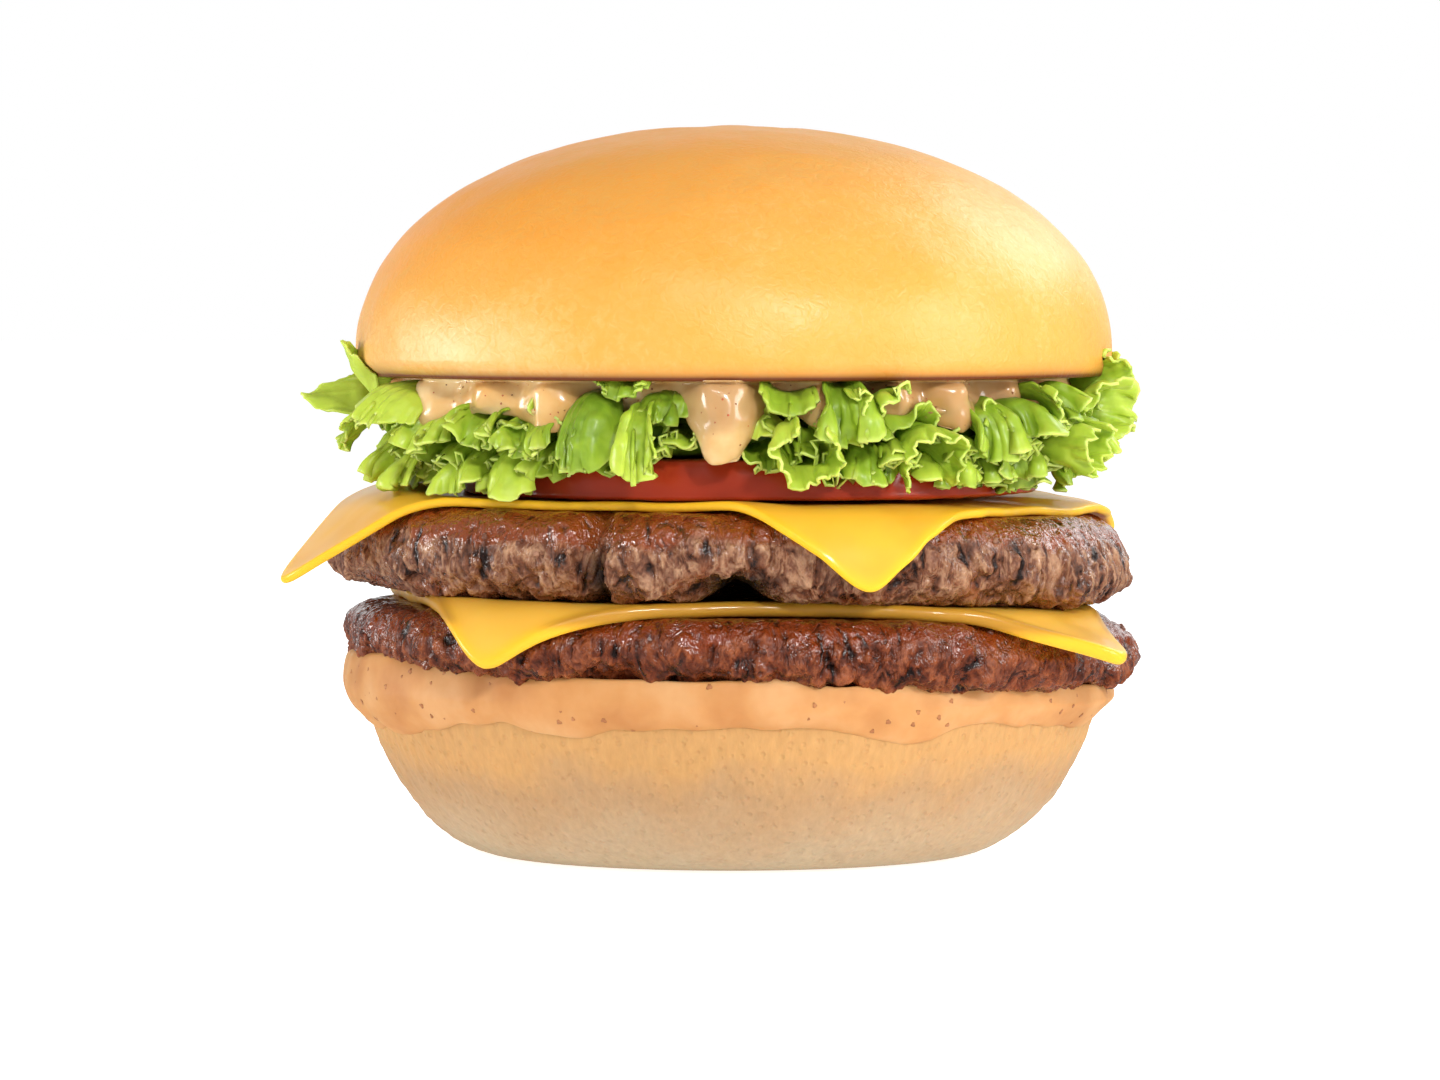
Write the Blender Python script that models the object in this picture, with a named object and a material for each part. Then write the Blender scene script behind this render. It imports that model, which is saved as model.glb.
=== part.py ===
"""Double cheeseburger, as a stack of ten separate pieces of food.

Metres, +Z up. The origin is the middle of the face that the heel rests on. The stack's axis is Z,
and its front, where two corners of cheese hang down, faces -Y.
"""

import math
from dataclasses import dataclass

import bmesh
import bpy
from mathutils import Vector, noise

# Driving dimensions
CROWN_RADIUS = 0.0516
CROWN_HEIGHT = 0.0336
HEEL_HEIGHT = 0.0215
HEEL_TOP_RADIUS = 0.0498
HEEL_BASE_RADIUS = 0.0310
PATTY_RADIUS = 0.0538
LOWER_PATTY_THICKNESS = 0.0088
UPPER_PATTY_THICKNESS = 0.0110
CHEESE_SIDE = 0.0890
LOWER_CHEESE_THICKNESS = 0.0022
UPPER_CHEESE_THICKNESS = 0.0017
TOMATO_RADIUS = 0.0390
TOMATO_THICKNESS = 0.0041
LETTUCE_RADIUS = 0.0538
LETTUCE_PACK = 0.0064
LEAF_THICKNESS = 0.0011
LOWER_SAUCE_THICKNESS = 0.0035
UPPER_SAUCE_THICKNESS = 0.0040
UPPER_SAUCE_RADIUS = 0.0455

# Clear gap between one layer and the next, height of the lumps in the meat, and the room that
# a hanging sheet of cheese leaves for them
GAP = 0.0003
LUMP_HEIGHT = 0.0006
DRAPE_ROOM = 0.0009

# Every layer between the sauces is level inside this radius
LEVEL_RADIUS = 0.0300

# How far the fillings and the crown lie to the right of the heel's axis
FILLING_SHIFT = 0.0009
CROWN_SHIFT = 0.0003

# Directions round the axis, counterclockwise from +X, and that of the long drip of sauce
FRONT = math.radians(-90)
LEFT = math.radians(180)
RIGHT = 0.0
DRIP_ANGLE = math.radians(-92)

# Thickness of each layer where it lies flat, from the bottom up
LAYER_THICKNESS = {
    "heel_bun": HEEL_HEIGHT,
    "lower_sauce": LOWER_SAUCE_THICKNESS,
    "lower_patty": LOWER_PATTY_THICKNESS,
    "lower_cheese": LOWER_CHEESE_THICKNESS,
    "upper_patty": UPPER_PATTY_THICKNESS,
    "upper_cheese": UPPER_CHEESE_THICKNESS,
    "tomato_slice": TOMATO_THICKNESS,
    "lettuce_leaf": LETTUCE_PACK,
    "upper_sauce": UPPER_SAUCE_THICKNESS,
    "crown_bun": CROWN_HEIGHT,
}


def stack_levels():
    """(floor, ceiling) of each layer where it lies flat, from the bottom up."""
    levels, height = {}, 0.0
    for name, thickness in LAYER_THICKNESS.items():
        levels[name] = (height, height + thickness)
        height += thickness + GAP
    return levels


LEVEL = stack_levels()


# Shapes shared by the layers


def ripple(angle, waves):
    """Sum of sine waves round the axis. waves holds (count, height, phase) for each."""
    return sum(height * math.sin(count * angle + phase) for count, height, phase in waves)


def swell(angle, middle, width):
    """1 in the direction middle, falling smoothly to 0 about two widths to each side."""
    away = math.remainder(angle - middle, math.tau) / width
    return math.exp(-away * away)


def ease(value, start, end):
    """0 up to start, 1 past end, and a smooth step between them."""
    share = min(1.0, max(0.0, (value - start) / (end - start)))
    return share * share * (3 - 2 * share)


def between(start, end, share):
    """The number that lies this share of the way from start to end."""
    return start + (end - start) * share


def arc(middle, across, up, first, last, steps):
    """Points of an elliptical arc in the (radius, height) half-plane, angles in degrees."""
    points = []
    for step in range(steps + 1):
        turn = math.radians(between(first, last, step / steps))
        points.append((middle[0] + across * math.cos(turn), middle[1] + up * math.sin(turn)))
    return points


def even_angles(count):
    """Directions spaced evenly round the axis."""
    return [math.tau * step / count for step in range(count)]


def sag(x, y):
    """How far the stack between the sauces droops at its right-hand rim."""
    angle = math.atan2(y, x)
    outward = (math.hypot(x, y) - LEVEL_RADIUS) / (PATTY_RADIUS - LEVEL_RADIUS)
    droop = 0.0026 * swell(angle, RIGHT - 0.25, 0.75) - 0.0005 * swell(angle, LEFT, 0.7)
    return min(1.0, max(0.0, outward)) * droop


def add_object(name, body, material, shift=0.0):
    """Turns a bmesh into a smooth-shaded object with one material, shift to the right."""
    mesh = bpy.data.meshes.new(name)
    body.to_mesh(mesh)
    body.free()
    mesh.materials.append(material)
    mesh.shade_smooth()
    mesh.set_sharp_from_angle(angle=math.radians(50))
    piece = bpy.data.objects.new(name, mesh)
    bpy.context.collection.objects.link(piece)
    piece.location.x = shift
    return piece


def turned(section, angles):
    """A closed body round the axis. section(angle) lists its (radius, height) points from the
    axis underneath, out round the rim and back to the axis on top."""
    body = bmesh.new()
    columns = []
    for angle in angles:
        columns.append([
            body.verts.new((radius * math.cos(angle), radius * math.sin(angle), height))
            for radius, height in section(angle)[1:-1]
        ])
    under, *_, over = section(angles[0])
    bottom = body.verts.new((0, 0, under[1]))
    top = body.verts.new((0, 0, over[1]))
    for here, beside in zip(columns, columns[1:] + columns[:1]):
        body.faces.new((bottom, beside[0], here[0]))
        for low, high in zip(range(len(here)), range(1, len(here))):
            body.faces.new((here[low], beside[low], beside[high], here[high]))
        body.faces.new((here[-1], beside[-1], top))
    return body


def food(name, colour, roughness, subsurface):
    """A material for one kind of food, colour given as linear RGB."""
    material = bpy.data.materials.new(name)
    material.use_nodes = True
    shader = material.node_tree.nodes["Principled BSDF"]
    shader.inputs["Base Color"].default_value = (*colour, 1)
    shader.inputs["Roughness"].default_value = roughness
    shader.inputs["Metallic"].default_value = 0.0
    shader.inputs["Subsurface Weight"].default_value = subsurface
    shader.inputs["Subsurface Scale"].default_value = 0.002
    return material


# The buns


def heel_radius(height, angle):
    """Outer radius of the heel, which flares in a flattened curve from its resting face."""
    share = min(1.0, max(0.0, height / HEEL_HEIGHT))
    flare = math.sqrt(1 - (1 - share) ** 1.4)
    uneven = ripple(angle, ((2, 0.0004, 0.6), (5, 0.0003, 1.9)))
    return between(HEEL_BASE_RADIUS, HEEL_TOP_RADIUS, flare) + uneven * flare


def make_heel():
    """The lower half of the bun: a flat foot, a flared side and a flat cut face."""
    floor, ceiling = LEVEL["heel_bun"]
    cut_edge, steps = 0.0010, 7

    def section(angle):
        points = [(0, floor), (HEEL_BASE_RADIUS, floor)]
        for step in range(1, steps + 1):
            height = (ceiling - cut_edge) * (step / steps) ** 1.6
            points.append((heel_radius(height, angle), height))
        points.append((heel_radius(ceiling, angle) - cut_edge, ceiling))
        return points + [(0, ceiling)]

    crumb = food("bun_heel", (0.80, 0.55, 0.25), 0.75, 0.2)
    return add_object("heel_bun", turned(section, even_angles(40)), crumb)


def make_crown():
    """The upper half of the bun: a full dome with its base edge tucked in on the left."""
    floor, ceiling = LEVEL["crown_bun"]
    widest = floor + 0.0020
    cut_edge, steps = 0.0006, 10

    def section(angle):
        tuck = 0.0004 + 0.0014 * swell(angle, LEFT, 1.0)
        around = CROWN_RADIUS + ripple(angle, ((2, 0.0002, 0.4), (3, 0.0002, 2.2)))
        points = [(0, floor), (around - tuck - cut_edge, floor), (around - tuck, floor + cut_edge)]
        for step in range(steps):
            turn = math.radians(90 * step / steps)
            radius = around * math.cos(turn) ** (2 / 2.1)
            points.append((radius, between(widest, ceiling, math.sin(turn) ** (2 / 2.2))))
        return points + [(0, ceiling)]

    crust = food("bun_crown", (0.93, 0.50, 0.11), 0.45, 0.2)
    return add_object("crown_bun", turned(section, even_angles(44)), crust, CROWN_SHIFT)


# The sauces


def make_lower_sauce():
    """Sauce spread on the heel, squeezed out over its rim into a wavy lip."""
    floor, ceiling = LEVEL["lower_sauce"]
    clear, lip_depth = 0.0004, 0.0024

    def section(angle):
        lip = floor - lip_depth - 0.0010 * swell(angle, LEFT, 0.5) - 0.0008 * swell(angle, RIGHT, 0.5)
        lip += ripple(angle, ((3, 0.0005, 0.3), (7, 0.0006, 1.2), (11, 0.0003, 0.2)))
        inner = heel_radius(lip, angle) + clear
        bulge = 0.0016 + 0.0012 * swell(angle, LEFT, 0.6)
        bulge += ripple(angle, ((4, 0.0003, 2.0), (9, 0.0002, 0.8)))
        outer = heel_radius(floor, angle) + clear + bulge
        return [
            (0, floor),
            (heel_radius(floor, angle) + clear, floor),
            (inner, lip),
            (inner + 0.6 * bulge, lip + 0.0001),
            (outer - 0.0003, between(lip, floor, 0.55)),
            (outer, between(floor, ceiling, 0.30)),
            (outer - 0.0010, between(floor, ceiling, 0.80)),
            (outer - 0.0040, ceiling),
            (LEVEL_RADIUS, ceiling),
            (0, ceiling),
        ]

    body = turned(section, even_angles(48))
    for vertex in body.verts:
        rise = ease(vertex.co.z, floor, ceiling)
        vertex.co.z -= rise * sag(vertex.co.x, vertex.co.y)
    return add_object("lower_sauce", body, food("sauce_spread", (0.85, 0.45, 0.16), 0.35, 0.3))


def make_upper_sauce():
    """Sauce between lettuce and crown, with one long drip at the front."""
    floor, ceiling = LEVEL["upper_sauce"]
    drip_length, drip_reach, drip_width = 0.0072, 0.0060, 0.09
    fine = [DRIP_ANGLE + drip_width * step * 0.4 for step in range(-6, 7)]
    clear_of_drip = 3 * drip_width
    coarse = [a for a in even_angles(40) if abs(math.remainder(a - DRIP_ANGLE, math.tau)) > clear_of_drip]
    angles = sorted(angle % math.tau for angle in coarse + fine)

    def section(angle):
        drip = swell(angle, DRIP_ANGLE, drip_width)
        reach = UPPER_SAUCE_RADIUS + ripple(angle, ((3, 0.0006, 0.5), (8, 0.0007, 2.4)))
        reach += drip_reach * drip ** 0.5
        lip = floor - drip_length * drip
        thick = 0.0018 + 0.0012 * drip ** 0.5
        shoulder = min(reach - 0.0008, CROWN_RADIUS - 0.0010)
        return [
            (0, floor),
            (UPPER_SAUCE_RADIUS * 0.70, floor),
            (reach - thick - 0.0006, floor + 0.0002),
            (reach - thick, between(lip, floor, 0.5)),
            (reach - 0.6 * thick, lip),
            (reach - 0.0002, between(lip, floor, 0.35)),
            (reach, between(floor, ceiling, 0.35)),
            (shoulder, ceiling - 0.0006),
            (shoulder - 0.0020, ceiling),
            (0, ceiling),
        ]

    dressing = food("sauce_dressing", (0.72, 0.48, 0.22), 0.3, 0.3)
    return add_object("upper_sauce", turned(section, angles), dressing, FILLING_SHIFT)


# The patties


def dents(angle, places):
    """Depth of the dents pressed into a rim. places holds (angle, width, depth) for each."""
    return sum(depth * swell(angle, at, width) for at, width, depth in places)


def lump(point):
    """Height of the meat's lumps at a point."""
    return LUMP_HEIGHT * noise.noise(point * 170)


@dataclass(frozen=True)
class Patty:
    """A fried patty: flat faces, a round shoulder on top and a flatter curve underneath."""

    node: str
    edge_waves: tuple
    """Unevenness of the rim: (count round the axis, height, phase) of each wave."""
    shoulders: tuple
    """Radius of the upper edge at the front and back, and at the two sides."""
    foot_width: float
    creases: tuple = ()
    """Dents in the side: (angle, width, depth) of each."""
    hollows: tuple = ()
    """Dents under the rim, stated likewise."""

    def radius(self, angle):
        """Outer radius of the rim in a direction."""
        return PATTY_RADIUS + ripple(angle, self.edge_waves)

    def shoulder(self, angle):
        """Radius of the upper edge in a direction."""
        return between(*self.shoulders, math.cos(angle) ** 2)

    def section(self, angle):
        """Half the patty's section in a direction."""
        floor, ceiling = LEVEL[self.node]
        edge = self.radius(angle) - dents(angle, self.creases)
        lifted = floor + dents(angle, self.hollows)
        shoulder = self.shoulder(angle)
        waist = ceiling - shoulder
        foot = arc((edge - self.foot_width, waist), self.foot_width, waist - lifted, -90, -15, 3)
        head = arc((edge - shoulder, waist), shoulder, shoulder, 10, 90, 4)
        return [(0, floor), (LEVEL_RADIUS, floor), *foot, *head, (LEVEL_RADIUS, ceiling), (0, ceiling)]

    def build(self):
        """The patty's object, with lumps on its side and the droop of the whole stack."""
        body = turned(self.section, even_angles(48))
        for vertex in body.verts:
            flat = Vector((vertex.co.x, vertex.co.y, 0))
            side = ease(flat.length, PATTY_RADIUS - 0.008, PATTY_RADIUS - 0.001)
            vertex.co += flat.normalized() * side * lump(vertex.co)
            vertex.co.z -= sag(vertex.co.x, vertex.co.y)
        meat = food(self.node + "_meat", (0.20, 0.09, 0.05), 0.5, 0.1)
        return add_object(self.node, body, meat, FILLING_SHIFT)


LOWER_PATTY = Patty(
    node="lower_patty",
    edge_waves=((2, 0.0006, 1.5), (5, 0.0006, 0.4), (9, 0.0004, 2.6)),
    shoulders=(0.0045, 0.0060),
    foot_width=0.0050,
)
UPPER_PATTY = Patty(
    node="upper_patty",
    edge_waves=((1, 0.0006, -1.6), (2, 0.0008, 1.6), (10, 0.0004, 1.1)),
    shoulders=(0.0052, 0.0080),
    foot_width=0.0070,
    creases=((math.radians(-110), 0.07, 0.0022), (math.radians(-38), 0.09, 0.0012)),
    hollows=((FRONT, 0.09, 0.0020),),
)


# The cheese


def hang(along, start, bend, steepest):
    """Where a sheet's point ends up when the sheet lies flat as far as start, then bends down
    at the radius bend until it is as steep as steepest: its distance from the axis and its drop."""
    past = max(0.0, along - start)
    turn = min(past / bend, steepest)
    straight = past - turn * bend
    reach = min(along, start) + bend * math.sin(turn) + straight * math.cos(turn)
    drop = bend * (1 - math.cos(turn)) + straight * math.sin(turn)
    return reach, drop


def reach_circle(start, pointing, radius):
    """Distance from start, in the direction pointing, to the circle of this radius round the axis."""
    along = start.dot(pointing)
    return math.sqrt(along * along - start.length_squared + radius * radius) - along


@dataclass(frozen=True)
class Slice:
    """A square slice softened by heat, draped over the shoulder of the patty beneath it."""

    node: str
    patty: Patty
    heading: float
    """Direction of the first corner. The others follow counterclockwise."""
    centre: tuple
    steepest: tuple
    """How steeply each corner hangs, in degrees."""
    pulls: tuple
    """How far each corner has stretched."""

    def edge(self, bearing):
        """Distance from the slice's middle to its edge, at a bearing from the first corner."""
        power = 9
        square = bearing + math.pi / 4
        power_sum = abs(math.cos(square)) ** power + abs(math.sin(square)) ** power
        distance = CHEESE_SIDE / 2 / power_sum ** (1 / power)
        for corner, pull in enumerate(self.pulls):
            distance += pull * swell(bearing, corner * math.pi / 2, 0.24)
        return distance

    def steepness(self, angle):
        """How steeply the slice may hang in a direction, eased from each corner to the next."""
        limit = 0.0
        for corner, steepest in enumerate(self.steepest):
            facing = max(0.0, math.cos(angle - self.heading - corner * math.pi / 2))
            limit += facing * facing * math.radians(steepest)
        return limit

    def bend_start(self, angle):
        """Distance from the stack's axis at which the slice leaves the patty's flat top."""
        return self.patty.radius(angle) - self.patty.shoulder(angle) + DRAPE_ROOM

    def drape(self, flat):
        """Where a point of the flat slice lies once the slice hangs over the patty."""
        floor, ceiling = LEVEL[self.node]
        angle = math.atan2(flat.y, flat.x)
        bend = self.patty.shoulder(angle) + (ceiling - floor) / 2 + GAP + DRAPE_ROOM
        reach, drop = hang(flat.length, self.bend_start(angle), bend, self.steepness(angle))
        x, y = reach * math.cos(angle), reach * math.sin(angle)
        return x, y, (floor + ceiling) / 2 - drop - sag(x, y)

    def build(self):
        """The slice's object: rings of its middle surface, thickened by a modifier."""
        body = bmesh.new()
        centre = Vector(self.centre)
        hub = body.verts.new(self.drape(centre))
        spokes = []
        for bearing in even_angles(48):
            angle = self.heading + bearing
            pointing = Vector((math.cos(angle), math.sin(angle)))
            edge = self.edge(bearing)
            level_end = min(0.92 * edge, reach_circle(centre, pointing, self.bend_start(angle)))
            distances = [reach_circle(centre, pointing, LEVEL_RADIUS)]
            distances += [between(level_end, edge, step / 3) for step in range(4)]
            spokes.append([body.verts.new(self.drape(centre + pointing * far)) for far in distances])
        for here, beside in zip(spokes, spokes[1:] + spokes[:1]):
            body.faces.new((hub, here[0], beside[0]))
            for near, far in zip(range(len(here)), range(1, len(here))):
                body.faces.new((here[near], here[far], beside[far], beside[near]))
        cheese = food(self.node + "_slice", (0.93, 0.55, 0.06), 0.25, 0.3)
        piece = add_object(self.node, body, cheese, FILLING_SHIFT)
        thicken = piece.modifiers.new("slice_thickness", "SOLIDIFY")
        thicken.thickness = LAYER_THICKNESS[self.node]
        thicken.offset = 0
        return piece


LOWER_CHEESE = Slice(
    node="lower_cheese",
    patty=LOWER_PATTY,
    heading=math.radians(-125),
    centre=(0.0, -0.0010),
    steepest=(82, 24, 60, 60),
    pulls=(0.0035, 0.0048, 0.0010, 0.0010),
)
UPPER_CHEESE = Slice(
    node="upper_cheese",
    patty=UPPER_PATTY,
    heading=math.radians(-161.5),
    centre=(-0.0006, -0.0016),
    steepest=(40, 78, 46, 70),
    pulls=(0.0085, 0.0050, -0.0020, 0.0),
)


# The tomato and the lettuce


def make_tomato():
    """One thick round slice of beef tomato, a little towards the front."""
    floor, ceiling = LEVEL["tomato_slice"]
    body = bmesh.new()
    bmesh.ops.create_cone(
        body,
        cap_ends=True,
        segments=40,
        radius1=TOMATO_RADIUS,
        radius2=TOMATO_RADIUS - 0.0006,
        depth=TOMATO_THICKNESS,
    )
    for vertex in body.verts:
        angle = math.atan2(vertex.co.y, vertex.co.x)
        lobes = ripple(angle, ((5, 0.0006, 0.7), (7, 0.0003, 2.0)))
        vertex.co.xy *= 1 + lobes / TOMATO_RADIUS
    piece = add_object("tomato_slice", body, food("tomato_flesh", (0.55, 0.05, 0.02), 0.25, 0.3))
    piece.location = (FILLING_SHIFT + 0.0010, -0.0070, (floor + ceiling) / 2)
    rounding = piece.modifiers.new("cut_edge", "BEVEL")
    rounding.width = 0.0008
    rounding.segments = 2
    rounding.limit_method = "ANGLE"
    return piece


def frill(angle):
    """The leaf's ruffle, from -1 in a trough to 1 on a crest."""
    wave = ripple(angle, ((15, 0.62, 0.3), (26, 0.42, 2.1)))
    wave = between(wave, 0.75, 0.85 * swell(angle, LEFT, 0.16))
    return between(wave, -0.35, swell(angle, DRIP_ANGLE, 0.22))


def leaf_edge(angle):
    """Radius of the leaf's frilled edge. It leaves a notch for the front drip of sauce."""
    edge = LETTUCE_RADIUS + ripple(angle, ((4, 0.0006, 1.0), (7, 0.0008, 0.2), (13, 0.0005, 1.4)))
    edge += 0.0040 * swell(angle, LEFT, 0.16) + 0.0014 * swell(angle, RIGHT, 0.4)
    shortening = 0.0018 * (1 - frill(angle))
    return edge - shortening - 0.0044 * swell(angle, DRIP_ANGLE, 0.12)


def make_lettuce():
    """A packed leaf whose frilled edge stands out all round, over the tomato and under the crown."""
    floor, ceiling = LEVEL["lettuce_leaf"]
    middle = (floor + ceiling) / 2
    pack_radius, margin_start, ruffle = 0.0360, 0.0420, 0.0066

    def leaf(radius, angle, edge):
        """Underside and top of the leaf at a radius."""
        out = max(0.0, (radius - margin_start) / (edge - margin_start))
        level = middle + ruffle * out ** 1.1 * frill(angle)
        half = between(LETTUCE_PACK, LEAF_THICKNESS, ease(radius, pack_radius, margin_start)) / 2
        return level - half, level + half

    def section(angle):
        edge = leaf_edge(angle)
        radii = [pack_radius] + [between(margin_start, edge, step / 3) for step in range(4)]
        faces = [leaf(radius, angle, edge) for radius in radii]
        under = [(radius, face[0]) for radius, face in zip(radii, faces)]
        over = [(radius, face[1]) for radius, face in zip(radii, faces)]
        return [(0, floor), *under, *reversed(over), (0, ceiling)]

    green = food("lettuce_green", (0.30, 0.48, 0.06), 0.4, 0.2)
    return add_object("lettuce_leaf", turned(section, even_angles(108)), green, FILLING_SHIFT)


def clear_scene():
    """Removes whatever the scene starts with."""
    for item in list(bpy.data.objects):
        bpy.data.objects.remove(item)


def build_burger():
    """Makes every piece, from the heel up."""
    clear_scene()
    make_heel()
    make_lower_sauce()
    LOWER_PATTY.build()
    LOWER_CHEESE.build()
    UPPER_PATTY.build()
    UPPER_CHEESE.build()
    make_tomato()
    make_lettuce()
    make_upper_sauce()
    make_crown()


build_burger()
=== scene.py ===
"""Double cheeseburger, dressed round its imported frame.

Metres, +Z up, front towards -Y, origin in the middle of the face that the heel rests on. The ten
layers of the stack each have a class here, which shapes the layer again from the same rules as its
solid, only finer, and gives it its finish.
"""

from __future__ import annotations

import logging
import math
from dataclasses import dataclass, field
from enum import Enum

import bpy
import numpy as np
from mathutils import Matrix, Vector


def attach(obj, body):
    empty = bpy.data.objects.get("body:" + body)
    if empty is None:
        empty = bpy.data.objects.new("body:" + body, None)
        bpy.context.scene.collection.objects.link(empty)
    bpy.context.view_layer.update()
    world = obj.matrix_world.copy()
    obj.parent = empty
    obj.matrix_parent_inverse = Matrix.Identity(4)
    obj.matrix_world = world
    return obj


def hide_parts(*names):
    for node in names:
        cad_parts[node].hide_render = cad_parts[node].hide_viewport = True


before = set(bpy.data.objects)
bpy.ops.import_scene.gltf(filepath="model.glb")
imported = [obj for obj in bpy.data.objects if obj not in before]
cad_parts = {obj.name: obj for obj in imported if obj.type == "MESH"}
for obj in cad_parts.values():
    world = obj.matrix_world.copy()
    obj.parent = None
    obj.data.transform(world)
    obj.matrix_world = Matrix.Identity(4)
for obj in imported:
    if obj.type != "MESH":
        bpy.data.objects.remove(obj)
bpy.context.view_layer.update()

log = logging.getLogger("burger")

MM = 0.001
TAU = math.tau
FRONT = math.radians(-90)
LEFT = math.radians(180)
RIGHT = 0.0

LEVEL_RADIUS = 0.0300
"""Every layer between the sauces is level inside this radius."""
PATTY_RADIUS = 0.0538
CROWN_RADIUS = 0.0516
HEEL_TOP_RADIUS = 0.0498
HEEL_BASE_RADIUS = 0.0310
FILLING_SHIFT = 0.0009
CROWN_SHIFT = 0.0003
DRIP_ANGLE = math.radians(-92)
GAP = 0.0003
DRAPE_ROOM = 0.0009

Array = np.ndarray


# Numbers shared by the layers


def level(node: str) -> tuple[float, float]:
    """Floor and ceiling of a layer of the stack where it lies flat.

    Args:
        node: name of the layer's node.

    Returns:
        The two heights in metres.
    """
    thickness = {
        "heel_bun": 0.0215,
        "lower_sauce": 0.0035,
        "lower_patty": 0.0088,
        "lower_cheese": 0.0022,
        "upper_patty": 0.0110,
        "upper_cheese": 0.0017,
        "tomato_slice": 0.0041,
        "lettuce_leaf": 0.0064,
        "upper_sauce": 0.0040,
        "crown_bun": 0.0336,
    }
    floor = 0.0
    for name, height in thickness.items():
        if name == node:
            return floor, floor + height
        floor += height + GAP
    raise KeyError(node)


def ripple(angle: Array, waves: tuple) -> Array:
    """Sum of sine waves round the axis.

    Args:
        angle: directions in radians.
        waves: (count, height, phase) of each wave.

    Returns:
        The sum for each direction.
    """
    return sum(height * np.sin(count * angle + phase) for count, height, phase in waves)


def swell(angle: Array, middle: float, width: float) -> Array:
    """A smooth hump round one direction.

    Args:
        angle: directions in radians.
        middle: direction where the hump is 1.
        width: it falls to 0 about two widths to each side.

    Returns:
        The hump's height for each direction.
    """
    away = np.remainder(angle - middle + math.pi, TAU) - math.pi
    return np.exp(-((away / width) ** 2))


def ease(value: Array, start: float, end: float) -> Array:
    """0 up to start, 1 past end and a smooth step between them."""
    share = np.clip((value - start) / (end - start), 0.0, 1.0)
    return share * share * (3 - 2 * share)


def between(start: Array, end: Array, share: Array) -> Array:
    """The number that lies this share of the way from start to end."""
    return start + (end - start) * share


def sag(x: Array, y: Array) -> Array:
    """How far the stack between the sauces droops at its right-hand rim."""
    angle = np.arctan2(y, x)
    outward = (np.hypot(x, y) - LEVEL_RADIUS) / (PATTY_RADIUS - LEVEL_RADIUS)
    droop = 0.0026 * swell(angle, RIGHT - 0.25, 0.75) - 0.0005 * swell(angle, LEFT, 0.7)
    return np.clip(outward, 0.0, 1.0) * droop


def clouds(points: Array, size: float, seed: int) -> Array:
    """Smooth random values in space.

    Args:
        points: places, with x, y and z along the last axis.
        size: distance between one random value and the next.
        seed: chooses the pattern.

    Returns:
        A value from -1 to 1 for each place.
    """
    place = points / size
    cell = np.floor(place).astype(np.int64)
    inside = place - cell
    weight = inside * inside * (3 - 2 * inside)
    total = np.zeros(points.shape[:-1])
    for corner in range(8):
        step = np.array([corner & 1, corner >> 1 & 1, corner >> 2 & 1])
        near = np.where(step == 1, weight, 1 - weight).prod(axis=-1)
        key = ((cell + step) * np.array([73856093, 19349663, 83492791])).sum(axis=-1)
        key = (key ^ (seed * 2654435761)) & 0xFFFFFFFF
        key = ((key ^ (key >> 16)) * 0x45D9F3B) & 0xFFFFFFFF
        key = ((key ^ (key >> 16)) * 0x45D9F3B) & 0xFFFFFFFF
        total += near * ((key ^ (key >> 16)) / 0x7FFFFFFF - 1)
    return total


def wander(along: Array, size: float, seed: int) -> Array:
    """Smooth random values along a line, from -1 to 1."""
    line = np.stack([along, np.full_like(along, 7.3 * size), np.full_like(along, 3.1 * size)], axis=-1)
    return clouds(line, size, seed)


def even_angles(count: int) -> Array:
    """Directions spaced evenly round the axis."""
    return np.arange(count) * TAU / count


def front_angles(count: int) -> Array:
    """Directions round the axis that lie twice as close together at the front as at the back."""
    even = even_angles(count)
    return even - 0.34 * np.cos(even)


def spun(radius: Array, height: Array, angles: Array) -> Array:
    """Points round the axis.

    Args:
        radius: distance from the axis, by direction and row.
        height: height, by direction and row.
        angles: the directions.

    Returns:
        Places by direction and row.
    """
    turn = angles[:, None]
    return np.stack([radius * np.cos(turn), radius * np.sin(turn), height], axis=-1)


def threaded(points: Array, rows: int) -> Array:
    """A smooth line through the points of each section, read at evenly spaced steps.

    Args:
        points: (direction, point, 2) array of radius and height.
        rows: how many points to return.

    Returns:
        A (direction, rows, 2) array.
    """
    last = points.shape[1] - 1
    place = np.linspace(0, last, rows)
    start = np.minimum(place.astype(int), last - 1)
    t = (place - start)[None, :, None]
    before = points[:, np.maximum(start - 1, 0)]
    here, there = points[:, start], points[:, start + 1]
    after = points[:, np.minimum(start + 2, last)]
    leave, arrive = (there - before) / 2, (after - here) / 2
    return (
        here * (2 * t**3 - 3 * t**2 + 1)
        + leave * (t**3 - 2 * t**2 + t)
        + there * (3 * t**2 - 2 * t**3)
        + arrive * (t**3 - t**2)
    )


def facing(grid: Array, wrap: bool) -> Array:
    """Outward direction of a surface at each point of its grid.

    Args:
        grid: places by column and row.
        wrap: whether the last column joins the first.

    Returns:
        Unit vectors by column and row.
    """
    if wrap:
        across = np.roll(grid, -1, axis=0) - np.roll(grid, 1, axis=0)
    else:
        across = np.gradient(grid, axis=0)
    along = np.gradient(grid, axis=1)
    normal = np.cross(across, along)
    return normal / np.maximum(np.linalg.norm(normal, axis=-1, keepdims=True), 1e-12)


# Meshes


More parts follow.
